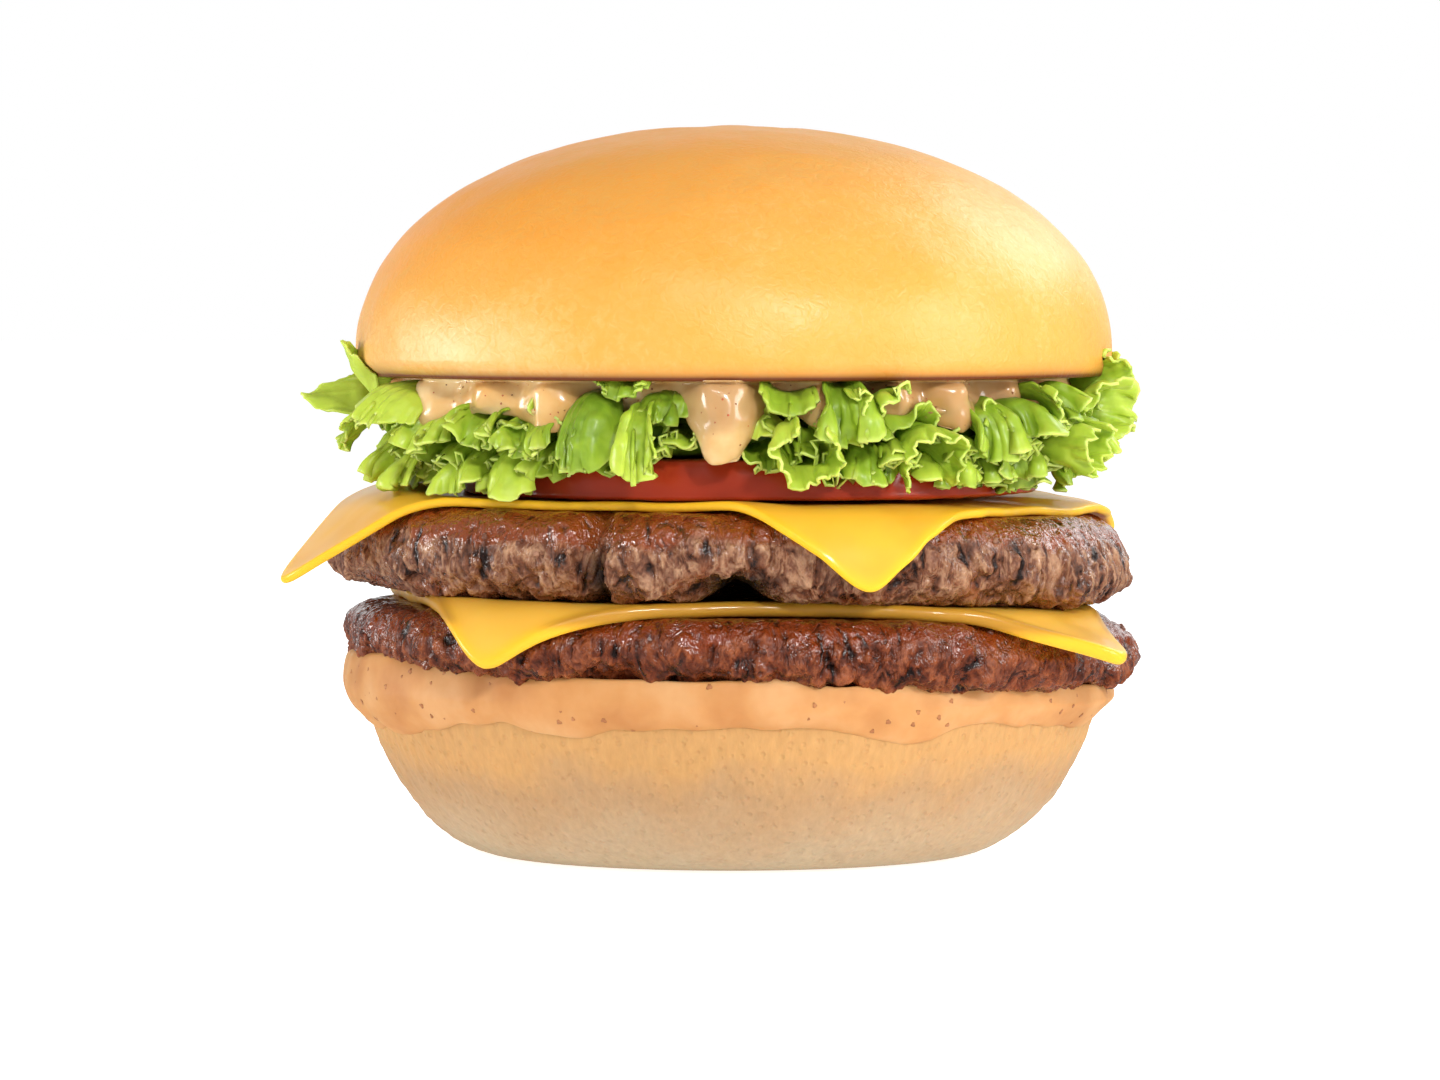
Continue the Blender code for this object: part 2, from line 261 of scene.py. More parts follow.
def skin(name: str, grid: Array, wrap: bool = True, poles: tuple | None = None, **marks: Array) -> bpy.types.Object:
    """An object with a smooth mesh over a grid of points.

    Args:
        name: the piece's name.
        grid: places by column and row.
        wrap: whether the last column joins the first.
        poles: the points that close it underneath and on top, if any.
        marks: values by column and row, each kept as a named attribute of the mesh.

    Returns:
        The object, at the origin.
    """
    columns, rows, _ = grid.shape
    index = np.arange(columns * rows).reshape(columns, rows)
    here, beside = (index, np.roll(index, -1, axis=0)) if wrap else (index[:-1], index[1:])
    quads = np.stack([here[:, :-1], beside[:, :-1], beside[:, 1:], here[:, 1:]], axis=-1)
    corners, starts = quads.ravel(), np.arange(quads.size // 4) * 4
    places = grid.reshape(-1, 3)
    if poles:
        under, over = len(places), len(places) + 1
        places = np.vstack([places, poles[0], poles[1]])
        low = np.stack([np.full_like(here[:, 0], under), beside[:, 0], here[:, 0]], axis=-1)
        high = np.stack([here[:, -1], beside[:, -1], np.full_like(here[:, 0], over)], axis=-1)
        fans = np.vstack([low, high])
        starts = np.concatenate([starts, len(corners) + np.arange(len(fans)) * 3])
        corners = np.concatenate([corners, fans.ravel()])
    mesh = bpy.data.meshes.new(name)
    mesh.vertices.add(len(places))
    mesh.vertices.foreach_set("co", places.ravel())
    mesh.loops.add(len(corners))
    mesh.loops.foreach_set("vertex_index", corners.astype(np.int32))
    mesh.polygons.add(len(starts))
    mesh.polygons.foreach_set("loop_start", starts.astype(np.int32))
    for mark, values in marks.items():
        at_poles = (values[:, 0].mean(), values[:, -1].mean()) if poles else ()
        filled = np.concatenate([values.ravel(), at_poles])
        mesh.attributes.new(mark, "FLOAT", "POINT").data.foreach_set("value", filled)
    mesh.update(calc_edges=True)
    mesh.validate()
    mesh.shade_smooth()
    piece = bpy.data.objects.new(name, mesh)
    bpy.context.scene.collection.objects.link(piece)
    return piece


def settle(piece: bpy.types.Object) -> None:
    """Turns a piece's modifiers into its plain mesh."""
    graph = bpy.context.evaluated_depsgraph_get()
    mesh = bpy.data.meshes.new_from_object(piece.evaluated_get(graph))
    piece.modifiers.clear()
    piece.data = mesh
    mesh.name = piece.name


def grow(piece: bpy.types.Object, tree: bpy.types.NodeTree, sizes: dict) -> None:
    """Runs a tree of geometry nodes on a piece and keeps the result as its plain mesh.

    Args:
        piece: the object that it changes.
        tree: the tree.
        sizes: values of the tree's named inputs.
    """
    modifier = piece.modifiers.new(tree.name, "NODES")
    modifier.node_group = tree
    for item in tree.interface.items_tree:
        if item.in_out == "INPUT" and item.name in sizes:
            modifier[item.identifier] = sizes[item.name]
    settle(piece)
    piece.data.materials.clear()
    piece.data.materials.append(sizes["Material"])
    piece.data.polygons.foreach_set("material_index", np.zeros(len(piece.data.polygons), dtype=np.int32))


def hand_over(piece: bpy.types.Object, slot: str, *nodes: str) -> None:
    """Gives a finished piece to the frame.

    Args:
        piece: the finished object.
        slot: material slot of the record that its finish stands for; not used.
        nodes: nodes of the frame that it replaces.
    """
    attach(piece, "root")
    if nodes:
        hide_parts(*nodes)
    log.info("%s: %d faces, %s", piece.name, len(piece.data.polygons), piece.data.materials[0].name)


# Nodes


def linear(code: str) -> tuple:
    """Linear RGBA of an sRGB hex colour."""
    parts = [int(code[at : at + 2], 16) / 255 for at in (1, 3, 5)]
    return (*[part / 12.92 if part <= 0.04045 else ((part + 0.055) / 1.055) ** 2.4 for part in parts], 1.0)


def add(tree: bpy.types.NodeTree, kind: str, inputs: dict | None = None, **settings: object) -> bpy.types.Node:
    """Adds a node with its settings and links.

    Args:
        tree: the tree that gets it.
        kind: the node's type.
        inputs: by name or number of the socket, its value, its hex colour or the socket it is
            linked from.
        settings: the node's own settings. stops holds (place, hex colour) for a colour ramp.

    Returns:
        The node.
    """
    node = tree.nodes.new(kind)
    for name, value in settings.items():
        if name == "stops":
            ramp = node.color_ramp.elements
            while len(ramp) < len(value):
                ramp.new(0.5)
            for stop, (place, colour) in zip(ramp, value):
                stop.position, stop.color = place, linear(colour)
        else:
            setattr(node, name, value)
    for key, value in (inputs or {}).items():
        socket = node.inputs[key]
        if isinstance(value, bpy.types.NodeSocket):
            tree.links.new(value, socket)
        elif isinstance(value, str) and value.startswith("#"):
            socket.default_value = linear(value)
        else:
            socket.default_value = value
    return node


def new_material(name: str, **constants: float) -> tuple:
    """A material with one shader.

    Args:
        name: the material's name.
        constants: values of the shader's sockets that are the same all over, with _ for a space.

    Returns:
        The material, its tree and its shader.
    """
    material = bpy.data.materials.new(name)
    material.use_nodes = True
    tree = material.node_tree
    shader = tree.nodes["Principled BSDF"]
    for socket, value in constants.items():
        shader.inputs[socket.replace("_", " ")].default_value = value
    return material, tree, shader


# Geometry nodes


def new_tree(name: str, sockets: dict) -> tuple:
    """A tree of geometry nodes with named inputs.

    Args:
        name: the tree's name.
        sockets: the type of each input, by name. Geometry goes in and out without being named.

    Returns:
        The tree and the output sockets of its input node.
    """
    tree = bpy.data.node_groups.new(name, "GeometryNodeTree")
    tree.interface.new_socket("Geometry", in_out="INPUT", socket_type="NodeSocketGeometry")
    for socket, kind in sockets.items():
        tree.interface.new_socket(socket, in_out="INPUT", socket_type=kind)
    tree.interface.new_socket("Geometry", in_out="OUTPUT", socket_type="NodeSocketGeometry")
    return tree, add(tree, "NodeGroupInput").outputs


def close_tree(tree: bpy.types.NodeTree, geometry: bpy.types.NodeSocket, material: bpy.types.NodeSocket) -> None:
    """Ends a tree with real geometry in one material."""
    real = add(tree, "GeometryNodeRealizeInstances", {"Geometry": geometry})
    painted = add(tree, "GeometryNodeSetMaterial", {"Geometry": real.outputs[0], "Material": material})
    add(tree, "NodeGroupOutput", {"Geometry": painted.outputs[0]})


def minced_relief_tree() -> bpy.types.NodeTree:
    """The tree that raises granules, strands, crumbs and pits of minced meat on a smooth patty.

    The named attribute rough says where, from 0 to 1. The attribute relief keeps how far each
    point was raised, about -1 to 1.
    """
    sizes = (
        "Granule Size", "Granule Height", "Strand Size", "Strand Height",
        "Crumb Size", "Crumb Height", "Pit Size", "Pit Depth",
    )
    tree, inputs = new_tree(
        "minced_relief",
        {name: "NodeSocketFloat" for name in sizes} | {"Seed": "NodeSocketFloat", "Material": "NodeSocketMaterial"},
    )
    place = add(tree, "GeometryNodeInputPosition").outputs[0]
    rough = add(tree, "GeometryNodeInputNamedAttribute", {"Name": "rough"}, data_type="FLOAT").outputs[0]

    def math_of(operation: str, *values: object) -> bpy.types.NodeSocket:
        """Result of one calculation."""
        return add(tree, "ShaderNodeMath", dict(enumerate(values)), operation=operation).outputs[0]

    def noise_of(size: bpy.types.NodeSocket, squeeze: float, detail: float) -> bpy.types.NodeSocket:
        """Noise of this size, stretched upwards where squeeze is under 1."""
        tall = add(tree, "ShaderNodeVectorMath", {0: place, 1: (1, 1, squeeze)}, operation="MULTIPLY").outputs[0]
        settings = {
            "Vector": tall, "W": inputs["Seed"], "Scale": math_of("DIVIDE", 1.0, size),
            "Detail": detail, "Roughness": 0.6, "Distortion": 0.5,
        }
        return add(tree, "ShaderNodeTexNoise", settings, noise_dimensions="4D").outputs[0]

    warp_scale = math_of("DIVIDE", 0.8, inputs["Granule Size"])
    warp = add(tree, "ShaderNodeTexNoise", {"Vector": place, "Scale": warp_scale, "Detail": 3.0}).outputs["Color"]
    warp = add(tree, "ShaderNodeVectorMath", {0: warp, 1: (0.5, 0.5, 0.5)}, operation="SUBTRACT").outputs[0]
    reach = math_of("MULTIPLY", inputs["Granule Size"], 2.6)
    warp = add(tree, "ShaderNodeVectorMath", {0: warp, "Scale": reach}, operation="SCALE").outputs[0]
    moved = add(tree, "ShaderNodeVectorMath", {0: place, 1: warp}, operation="ADD").outputs[0]
    moved = add(tree, "ShaderNodeVectorMath", {0: moved, 1: (1, 1, 0.6)}, operation="MULTIPLY").outputs[0]
    cells = add(
        tree,
        "ShaderNodeTexVoronoi",
        {"Vector": moved, "Scale": math_of("DIVIDE", 1.0, inputs["Granule Size"]), "Smoothness": 0.25},
        feature="SMOOTH_F1",
    ).outputs["Distance"]
    granule = math_of("MULTIPLY", math_of("SUBTRACT", 0.42, cells), 2.4)
    ridge = math_of("ABSOLUTE", math_of("SUBTRACT", noise_of(inputs["Strand Size"], 0.36, 4.0), 0.5))
    strand = math_of("MULTIPLY", math_of("SUBTRACT", 0.08, ridge), 7.0)
    crumb = math_of("MULTIPLY", math_of("SUBTRACT", noise_of(inputs["Crumb Size"], 0.8, 3.0), 0.5), 3.0)
    hole = add(
        tree, "ShaderNodeMapRange", {0: noise_of(inputs["Pit Size"], 0.55, 2.0), 1: 0.57, 2: 0.70},
        interpolation_type="SMOOTHSTEP",
    ).outputs[0]
    height = math_of("MULTIPLY", granule, inputs["Granule Height"])
    height = math_of("MULTIPLY_ADD", strand, inputs["Strand Height"], height)
    height = math_of("MULTIPLY_ADD", crumb, inputs["Crumb Height"], height)
    pit = math_of("MULTIPLY", hole, inputs["Pit Depth"])
    height = math_of("MULTIPLY", math_of("SUBTRACT", height, pit), rough)
    normal = add(tree, "GeometryNodeInputNormal").outputs[0]
    offset = add(tree, "ShaderNodeVectorMath", {0: normal, "Scale": height}, operation="SCALE").outputs[0]
    raised = add(tree, "GeometryNodeSetPosition", {"Geometry": inputs["Geometry"], "Offset": offset}).outputs[0]
    share = math_of("DIVIDE", height, math_of("ADD", inputs["Granule Height"], inputs["Strand Height"]))
    kept = add(
        tree, "GeometryNodeStoreNamedAttribute", {"Geometry": raised, "Name": "relief", "Value": share}, data_type="FLOAT"
    ).outputs[0]
    close_tree(tree, kept, inputs["Material"])
    return tree


def scatter_tree() -> bpy.types.NodeTree:
    """The tree that strews small grains over a surface and keeps the grains alone.

    The named attribute strewn says how thickly, from 0 to 1.
    """
    sizes = ("Spacing", "Density", "Smallest", "Largest", "Flatness", "Depth")
    tree, inputs = new_tree(
        "strewn_grains",
        {name: "NodeSocketFloat" for name in sizes} | {"Seed": "NodeSocketInt", "Material": "NodeSocketMaterial"},
    )
    strewn = add(tree, "GeometryNodeInputNamedAttribute", {"Name": "strewn"}, data_type="FLOAT").outputs[0]
    spots = add(
        tree,
        "GeometryNodeDistributePointsOnFaces",
        {
            "Mesh": inputs["Geometry"],
            "Distance Min": inputs["Spacing"],
            "Density Max": inputs["Density"],
            "Density Factor": strewn,
            "Seed": inputs["Seed"],
        },
        distribute_method="POISSON",
    )
    back = add(tree, "ShaderNodeMath", {0: inputs["Depth"], 1: -1.0}, operation="MULTIPLY").outputs[0]
    sunk = add(
        tree, "ShaderNodeVectorMath", {0: spots.outputs["Normal"], "Scale": back}, operation="SCALE"
    ).outputs[0]
    points = add(tree, "GeometryNodeSetPosition", {"Geometry": spots.outputs["Points"], "Offset": sunk}).outputs[0]
    ball = add(tree, "GeometryNodeMeshIcoSphere", {"Radius": 1.0, "Subdivisions": 2}).outputs[0]
    bumps = add(tree, "ShaderNodeTexNoise", {"Scale": 1.1, "Detail": 1.0}).outputs["Color"]
    bumps = add(tree, "ShaderNodeVectorMath", {0: bumps, 1: (0.5, 0.5, 0.5)}, operation="SUBTRACT").outputs[0]
    bumps = add(tree, "ShaderNodeVectorMath", {0: bumps, "Scale": 1.7}, operation="SCALE").outputs[0]
    grain = add(tree, "GeometryNodeSetPosition", {"Geometry": ball, "Offset": bumps}).outputs[0]
    grain = add(tree, "GeometryNodeSetShadeSmooth", {"Geometry": grain}).outputs[0]
    size = add(
        tree,
        "FunctionNodeRandomValue",
        {2: inputs["Smallest"], 3: inputs["Largest"], "Seed": inputs["Seed"]},
        data_type="FLOAT",
    ).outputs[1]
    thin = add(tree, "ShaderNodeMath", {0: size, 1: inputs["Flatness"]}, operation="MULTIPLY").outputs[0]
    shape = add(tree, "ShaderNodeCombineXYZ", {0: size, 1: size, 2: thin}).outputs[0]
    spin = add(
        tree,
        "FunctionNodeRandomValue",
        {0: (0.0, 0.0, 0.0), 1: (0.0, 0.0, TAU), "Seed": inputs["Seed"]},
        data_type="FLOAT_VECTOR",
    ).outputs[0]
    turned = add(
        tree, "FunctionNodeRotateRotation", {0: spots.outputs["Rotation"], 1: spin}, rotation_space="LOCAL"
    ).outputs[0]
    grains = add(
        tree,
        "GeometryNodeInstanceOnPoints",
        {"Points": points, "Instance": grain, "Rotation": turned, "Scale": shape},
    ).outputs[0]
    close_tree(tree, grains, inputs["Material"])
    return tree


def strew(host: bpy.types.Object, name: str, tree: bpy.types.NodeTree, where: Array, sizes: dict) -> bpy.types.Object:
    """A piece of small grains that lie on another piece.

    Args:
        host: the piece that carries them.
        name: the new piece's name.
        tree: the tree that strews them.
        where: how thickly they lie at each point of the host, from 0 to 1.
        sizes: values of the tree's named inputs.

    Returns:
        The new piece.
    """
    bed = host.data.copy()
    bed.name = name
    bed.attributes.new("strewn", "FLOAT", "POINT").data.foreach_set("value", where)
    grains = bpy.data.objects.new(name, bed)
    bpy.context.scene.collection.objects.link(grains)
    grow(grains, tree, sizes)
    return grains


def points_of(piece: bpy.types.Object) -> Array:
    """The places of a piece's points."""
    places = np.empty(len(piece.data.vertices) * 3)
    piece.data.vertices.foreach_get("co", places)
    return places.reshape(-1, 3)


# Finishes


@dataclass(frozen=True)
class BakedCrust:
    """Soft bun crust, glazed and baked: satin, golden where it baked most, with painted highlights where it is paler,
    toasted along its cut edge.
    """

    golden: str = "#E99932"
    light: str = "#E0A148"
    # pale is the crust's paler colour, and also the colour of the painted highlights
    pale: str = "#E4B872"
    toasted: str = "#6A2E0C"
    mottle: float = 8.0
    # Breadth of the darker baked patches, in mm.
    """Breadth of the browned patches, in mm."""
    wrinkle: float = 1.1
    """Distance between the fine wrinkles that the crust gets as it cools, in mm."""

    def material(self) -> bpy.types.Material:
        """The finished material. Its glaze is worn, so that lights spread into wide soft sheens."""
        material, tree, shader = new_material(
            "bun_crust_baked", IOR=1.48, Subsurface_Weight=0.12, Subsurface_Scale=0.002
        )
        place = add(tree, "ShaderNodeTexCoord").outputs["Object"]
        patches = add(
            tree, "ShaderNodeTexNoise", {"Vector": place, "Scale": 1000 / self.mottle, "Detail": 6.0, "Roughness": 0.62}
        ).outputs[0]
        # How golden the crust is, from real browning and from painted highlights where it is paler
        browned = add(tree, "ShaderNodeAttribute", attribute_name="browned").outputs["Fac"]
        fine = add(
            tree, "ShaderNodeTexNoise", {"Vector": place, "Scale": 1000 / self.wrinkle, "Detail": 4.0, "Distortion": 0.9}
        ).outputs[0]
        mixed = add(tree, "ShaderNodeMath", {0: patches, 1: 0.40, 2: browned}, operation="MULTIPLY_ADD").outputs[0]
        mixed = add(tree, "ShaderNodeMath", {0: fine, 1: 0.50, 2: mixed}, operation="MULTIPLY_ADD").outputs[0]
        mixed = add(tree, "ShaderNodeMath", {0: mixed, 1: 0.35}, operation="SUBTRACT").outputs[0]
        colour = add(
            tree,
            "ShaderNodeValToRGB",
            {0: mixed},
            stops=((0.20, self.pale), (0.55, self.light), (0.90, self.golden)),
        ).outputs[0]
        rim = add(tree, "ShaderNodeAttribute", attribute_name="toast").outputs["Fac"]
        burnt = add(
            tree, "ShaderNodeMix", {0: rim, 6: colour, 7: self.toasted}, data_type="RGBA"
        ).outputs[2]
        tree.links.new(burnt, shader.inputs["Base Color"])
        bump = add(tree, "ShaderNodeBump", {"Strength": 0.55, "Distance": 0.00020, "Height": fine}).outputs[0]
        tree.links.new(bump, shader.inputs["Normal"])
        satin = add(tree, "ShaderNodeMapRange", {0: patches, 1: 0.3, 2: 0.7, 3: 0.44, 4: 0.34}).outputs[0]
        tree.links.new(satin, shader.inputs["Roughness"])
        return material


@dataclass(frozen=True)
class BreadSide:
    """Unglazed side of a bun, baked against its neighbours: matt, pale, finely torn and porous."""

    warm: str = "#BD8F58"
    middle: str = "#AC8860"
    pale: str = "#AE9A7D"
    thread: float = 0.75
    """Distance between the torn threads of crumb that run up the side, in mm."""
    pore: float = 1.3
    """Distance between pores, in mm."""

    def material(self) -> bpy.types.Material:
        """The finished material. Threads and pores break the light up, so nothing shines."""
        material, tree, shader = new_material(
            "bun_crumb_torn", Roughness=0.82, IOR=1.4, Subsurface_Weight=0.15, Subsurface_Scale=0.0015
        )
        place = add(tree, "ShaderNodeTexCoord").outputs["Object"]
        tall = add(tree, "ShaderNodeMapping", {"Vector": place, "Scale": (1.0, 1.0, 0.16)}).outputs[0]
        threads = add(
            tree, "ShaderNodeTexNoise", {"Vector": tall, "Scale": 1000 / self.thread, "Detail": 3.0, "Roughness": 0.6}
        ).outputs[0]
        pores = add(
            tree, "ShaderNodeTexVoronoi", {"Vector": place, "Scale": 1000 / self.pore, "Randomness": 1.0}
        ).outputs["Distance"]
        pits = add(tree, "ShaderNodeMapRange", {0: pores, 1: 0.10, 2: 0.32}).outputs[0]
        height = add(tree, "ShaderNodeAttribute", attribute_name="height").outputs["Fac"]
        soft = add(tree, "ShaderNodeTexNoise", {"Vector": place, "Scale": 90.0, "Detail": 3.0}).outputs[0]
        tone = add(tree, "ShaderNodeMath", {0: soft, 1: 0.5, 2: height}, operation="MULTIPLY_ADD").outputs[0]
        colour = add(
            tree,
            "ShaderNodeValToRGB",
            {0: tone},
            stops=((0.28, self.pale), (0.75, self.middle), (1.2 / 1.25, self.warm)),
        ).outputs[0]
        shade = add(tree, "ShaderNodeMapRange", {0: threads, 1: 0.25, 2: 0.75, 3: 0.88, 4: 1.06}).outputs[0]
        colour = add(
            tree, "ShaderNodeVectorMath", {0: colour, "Scale": shade}, operation="SCALE"
        ).outputs[0]
        tree.links.new(colour, shader.inputs["Base Color"])
        rough = add(tree, "ShaderNodeMath", {0: threads, 1: 0.7, 2: pits}, operation="MULTIPLY_ADD").outputs[0]
        bump = add(tree, "ShaderNodeBump", {"Strength": 0.55, "Distance": 0.00026, "Height": rough}).outputs[0]
        tree.links.new(bump, shader.inputs["Normal"])
        return material


@dataclass(frozen=True)
class FriedBeef:
    """Minced beef, fried on a hot plate: glazed with fat on top, brown and stringy at its side."""

    name: str
    hollow_shade: str
    # Painted shade deep between the granules, where the relief sinks.
    """Colour deep between the granules."""
    meat: str
    ridge: str
    # Colour of the granules' tops: the meat's lighter strands, with painted light where the relief rises.
    """Colour of the granules' tops."""
    seared: str
    """Colour of the fried top and of the crust at the rim."""
    gloss: float
    """Roughness where fat glazes it."""
    dull: float
    """Roughness where it is dry."""

    def material(self) -> bpy.types.Material:
        """The finished material. Fat lies in patches, so that wet points sparkle beside dull meat."""
        material, tree, shader = new_material(
            self.name, IOR=1.5, Specular_IOR_Level=0.34, Subsurface_Weight=0.05, Subsurface_Scale=0.0008,
            Coat_Roughness=0.07,
        )

        def noise(stretch: float, scale: float, detail: float, twist: float = 0.0) -> bpy.types.NodeSocket:
            """Noise in the meat, drawn out upwards where stretch is under 1."""
            tall = add(tree, "ShaderNodeMapping", {"Vector": place, "Scale": (1.0, 1.0, stretch)}).outputs[0]
            settings = {"Vector": tall, "Scale": scale, "Detail": detail, "Roughness": 0.66, "Distortion": twist}
            return add(tree, "ShaderNodeTexNoise", settings).outputs[0]

        def sum_of(value: bpy.types.NodeSocket, share: float, rest: object) -> bpy.types.NodeSocket:
            """A value times its share, plus the rest."""
            return add(tree, "ShaderNodeMath", {0: value, 1: share, 2: rest}, operation="MULTIPLY_ADD").outputs[0]

        place = add(tree, "ShaderNodeTexCoord").outputs["Object"]
        relief = add(tree, "ShaderNodeAttribute", attribute_name="relief").outputs["Fac"]
        sear = add(tree, "ShaderNodeAttribute", attribute_name="sear").outputs["Fac"]
        char = add(tree, "ShaderNodeAttribute", attribute_name="char").outputs["Fac"]
        fibre = add(tree, "ShaderNodeMath", {0: sum_of(noise(0.40, 330.0, 3.0, 0.8), 2.0, -1.0)}, operation="ABSOLUTE")
        fibre = sum_of(fibre.outputs[0], -3.2, 1.0)
        grain = noise(0.7, 800.0, 3.0)
        patch = noise(1.0, 150.0, 4.0)
        fried = add(tree, "ShaderNodeMapRange", {0: sum_of(patch, 1.7, sear), 1: 0.98, 2: 1.40}).outputs[0]
        # The relief paints shade into the hollows and light onto the raised granules; the noise adds the meat's own
        # strands, grain and patches
        tone = add(tree, "ShaderNodeMapRange", {0: relief, 1: -1.2, 2: 1.0, 3: 0.0, 4: 0.62}).outputs[0]
        tone = sum_of(grain, 0.75, sum_of(fibre, 0.34, sum_of(patch, 0.5, tone)))
        tone = add(tree, "ShaderNodeMath", {0: tone, 1: 0.72}, operation="SUBTRACT").outputs[0]
        meat = ((0.10, self.hollow_shade), (0.40, self.meat), (0.80, self.ridge))
        meat = add(tree, "ShaderNodeValToRGB", {0: tone}, stops=meat).outputs[0]
        crust = add(tree, "ShaderNodeValToRGB", {0: tone}, stops=((0.05, self.hollow_shade), (0.42, self.seared))).outputs[0]
        colour = add(tree, "ShaderNodeMix", {0: fried, 6: meat, 7: crust}, data_type="RGBA").outputs[2]
        # Near-black painted shade in the creases and in the hollows under the rim
        colour = add(tree, "ShaderNodeMix", {0: char, 6: colour, 7: "#0C0605"}, data_type="RGBA").outputs[2]
        tree.links.new(colour, shader.inputs["Base Color"])
        wet = sum_of(fried, 0.22, noise(1.0, 330.0, 3.0))
        rough = {0: wet, 1: 0.40, 2: 0.56, 3: self.dull, 4: self.gloss}
        tree.links.new(add(tree, "ShaderNodeMapRange", rough).outputs[0], shader.inputs["Roughness"])
        glaze = {0: wet, 1: 0.52, 2: 0.62, 3: 0.0, 4: 0.8}
        tree.links.new(add(tree, "ShaderNodeMapRange", glaze).outputs[0], shader.inputs["Coat Weight"])
        height = sum_of(fibre, 0.5, grain)
        bump = add(tree, "ShaderNodeBump", {"Strength": 0.9, "Distance": 0.00045, "Height": height}).outputs[0]
        tree.links.new(bump, shader.inputs["Normal"])
        tree.links.new(bump, shader.inputs["Coat Normal"])
        return material


@dataclass(frozen=True)
class MeltedCheese:
    """Sliced processed cheese, softened by heat: smooth, glossy and slightly see-through at its edge."""

    name: str
    deep: str
    bright: str
    edge: str
    edge_shade_colour: str = "#B07F26"
    # Painted shade on its edge, where what lies on it shades it.
    """Colour of its edge where it is pressed under what lies on it."""

    def material(self) -> bpy.types.Material:
        """The finished material. Its skin is drawn tight as it melts, so highlights stay long and sharp."""
        material, tree, shader = new_material(
            self.name, Specular_IOR_Level=0.20, Subsurface_Weight=0.35, Subsurface_Scale=0.0025,
            Coat_Weight=0.26, Coat_Roughness=0.11,
        )
        shader.inputs["Subsurface Radius"].default_value = (1.0, 0.55, 0.12)
        place = add(tree, "ShaderNodeTexCoord").outputs["Object"]
        rim = add(tree, "ShaderNodeAttribute", attribute_name="rim").outputs["Fac"]
        soft = add(tree, "ShaderNodeTexNoise", {"Vector": place, "Scale": 70.0, "Detail": 3.0}).outputs[0]
        colour = add(
            tree, "ShaderNodeValToRGB", {0: soft}, stops=((0.32, self.deep), (0.68, self.bright))
        ).outputs[0]
        colour = add(tree, "ShaderNodeMix", {0: rim, 6: colour, 7: self.edge}, data_type="RGBA").outputs[2]
        # Painted shade on the edge, under the layer above
        pressed = add(tree, "ShaderNodeAttribute", attribute_name="pressed").outputs["Fac"]
        colour = add(tree, "ShaderNodeMix", {0: pressed, 6: colour, 7: self.edge_shade_colour}, data_type="RGBA").outputs[2]
        tree.links.new(colour, shader.inputs["Base Color"])
        streaks = add(
            tree, "ShaderNodeTexNoise", {"Vector": place, "Scale": 110.0, "Detail": 1.0, "Distortion": 0.6}
        ).outputs[0]
        rough = add(tree, "ShaderNodeMapRange", {0: streaks, 1: 0.35, 2: 0.7, 3: 0.34, 4: 0.48}).outputs[0]
        tree.links.new(rough, shader.inputs["Roughness"])
        bump = add(tree, "ShaderNodeBump", {"Strength": 0.02, "Distance": 0.0003, "Height": streaks}).outputs[0]
        tree.links.new(bump, shader.inputs["Normal"])
        return material


@dataclass(frozen=True)
class CutTomato:
    """Ripe tomato, sliced with a knife: wet flesh, paler in patches, and a taut shiny skin."""

    skin_red: str = "#9A3016"
    flesh: str = "#B4402B"
    core: str = "#CF7A58"

    def material(self) -> bpy.types.Material:
        """The finished material. Juice on the cut face gives it a wet glint."""
        material, tree, shader = new_material(
            "tomato_fresh_cut", IOR=1.4, Roughness=0.22, Subsurface_Weight=0.35, Subsurface_Scale=0.002
        )
        shader.inputs["Subsurface Radius"].default_value = (1.0, 0.25, 0.12)
        place = add(tree, "ShaderNodeTexCoord").outputs["Object"]
        skin_share = add(tree, "ShaderNodeAttribute", attribute_name="skin").outputs["Fac"]
        fibres = add(
            tree, "ShaderNodeTexNoise", {"Vector": place, "Scale": 420.0, "Detail": 4.0, "Roughness": 0.6}
        ).outputs[0]
        colour = add(
            tree, "ShaderNodeValToRGB", {0: fibres}, stops=((0.35, self.flesh), (0.75, self.core))
        ).outputs[0]
        colour = add(
            tree, "ShaderNodeMix", {0: skin_share, 6: colour, 7: self.skin_red}, data_type="RGBA"
        ).outputs[2]
        tree.links.new(colour, shader.inputs["Base Color"])
        bump = add(tree, "ShaderNodeBump", {"Strength": 0.25, "Distance": 0.0002, "Height": fibres}).outputs[0]
        tree.links.new(bump, shader.inputs["Normal"])
        return material


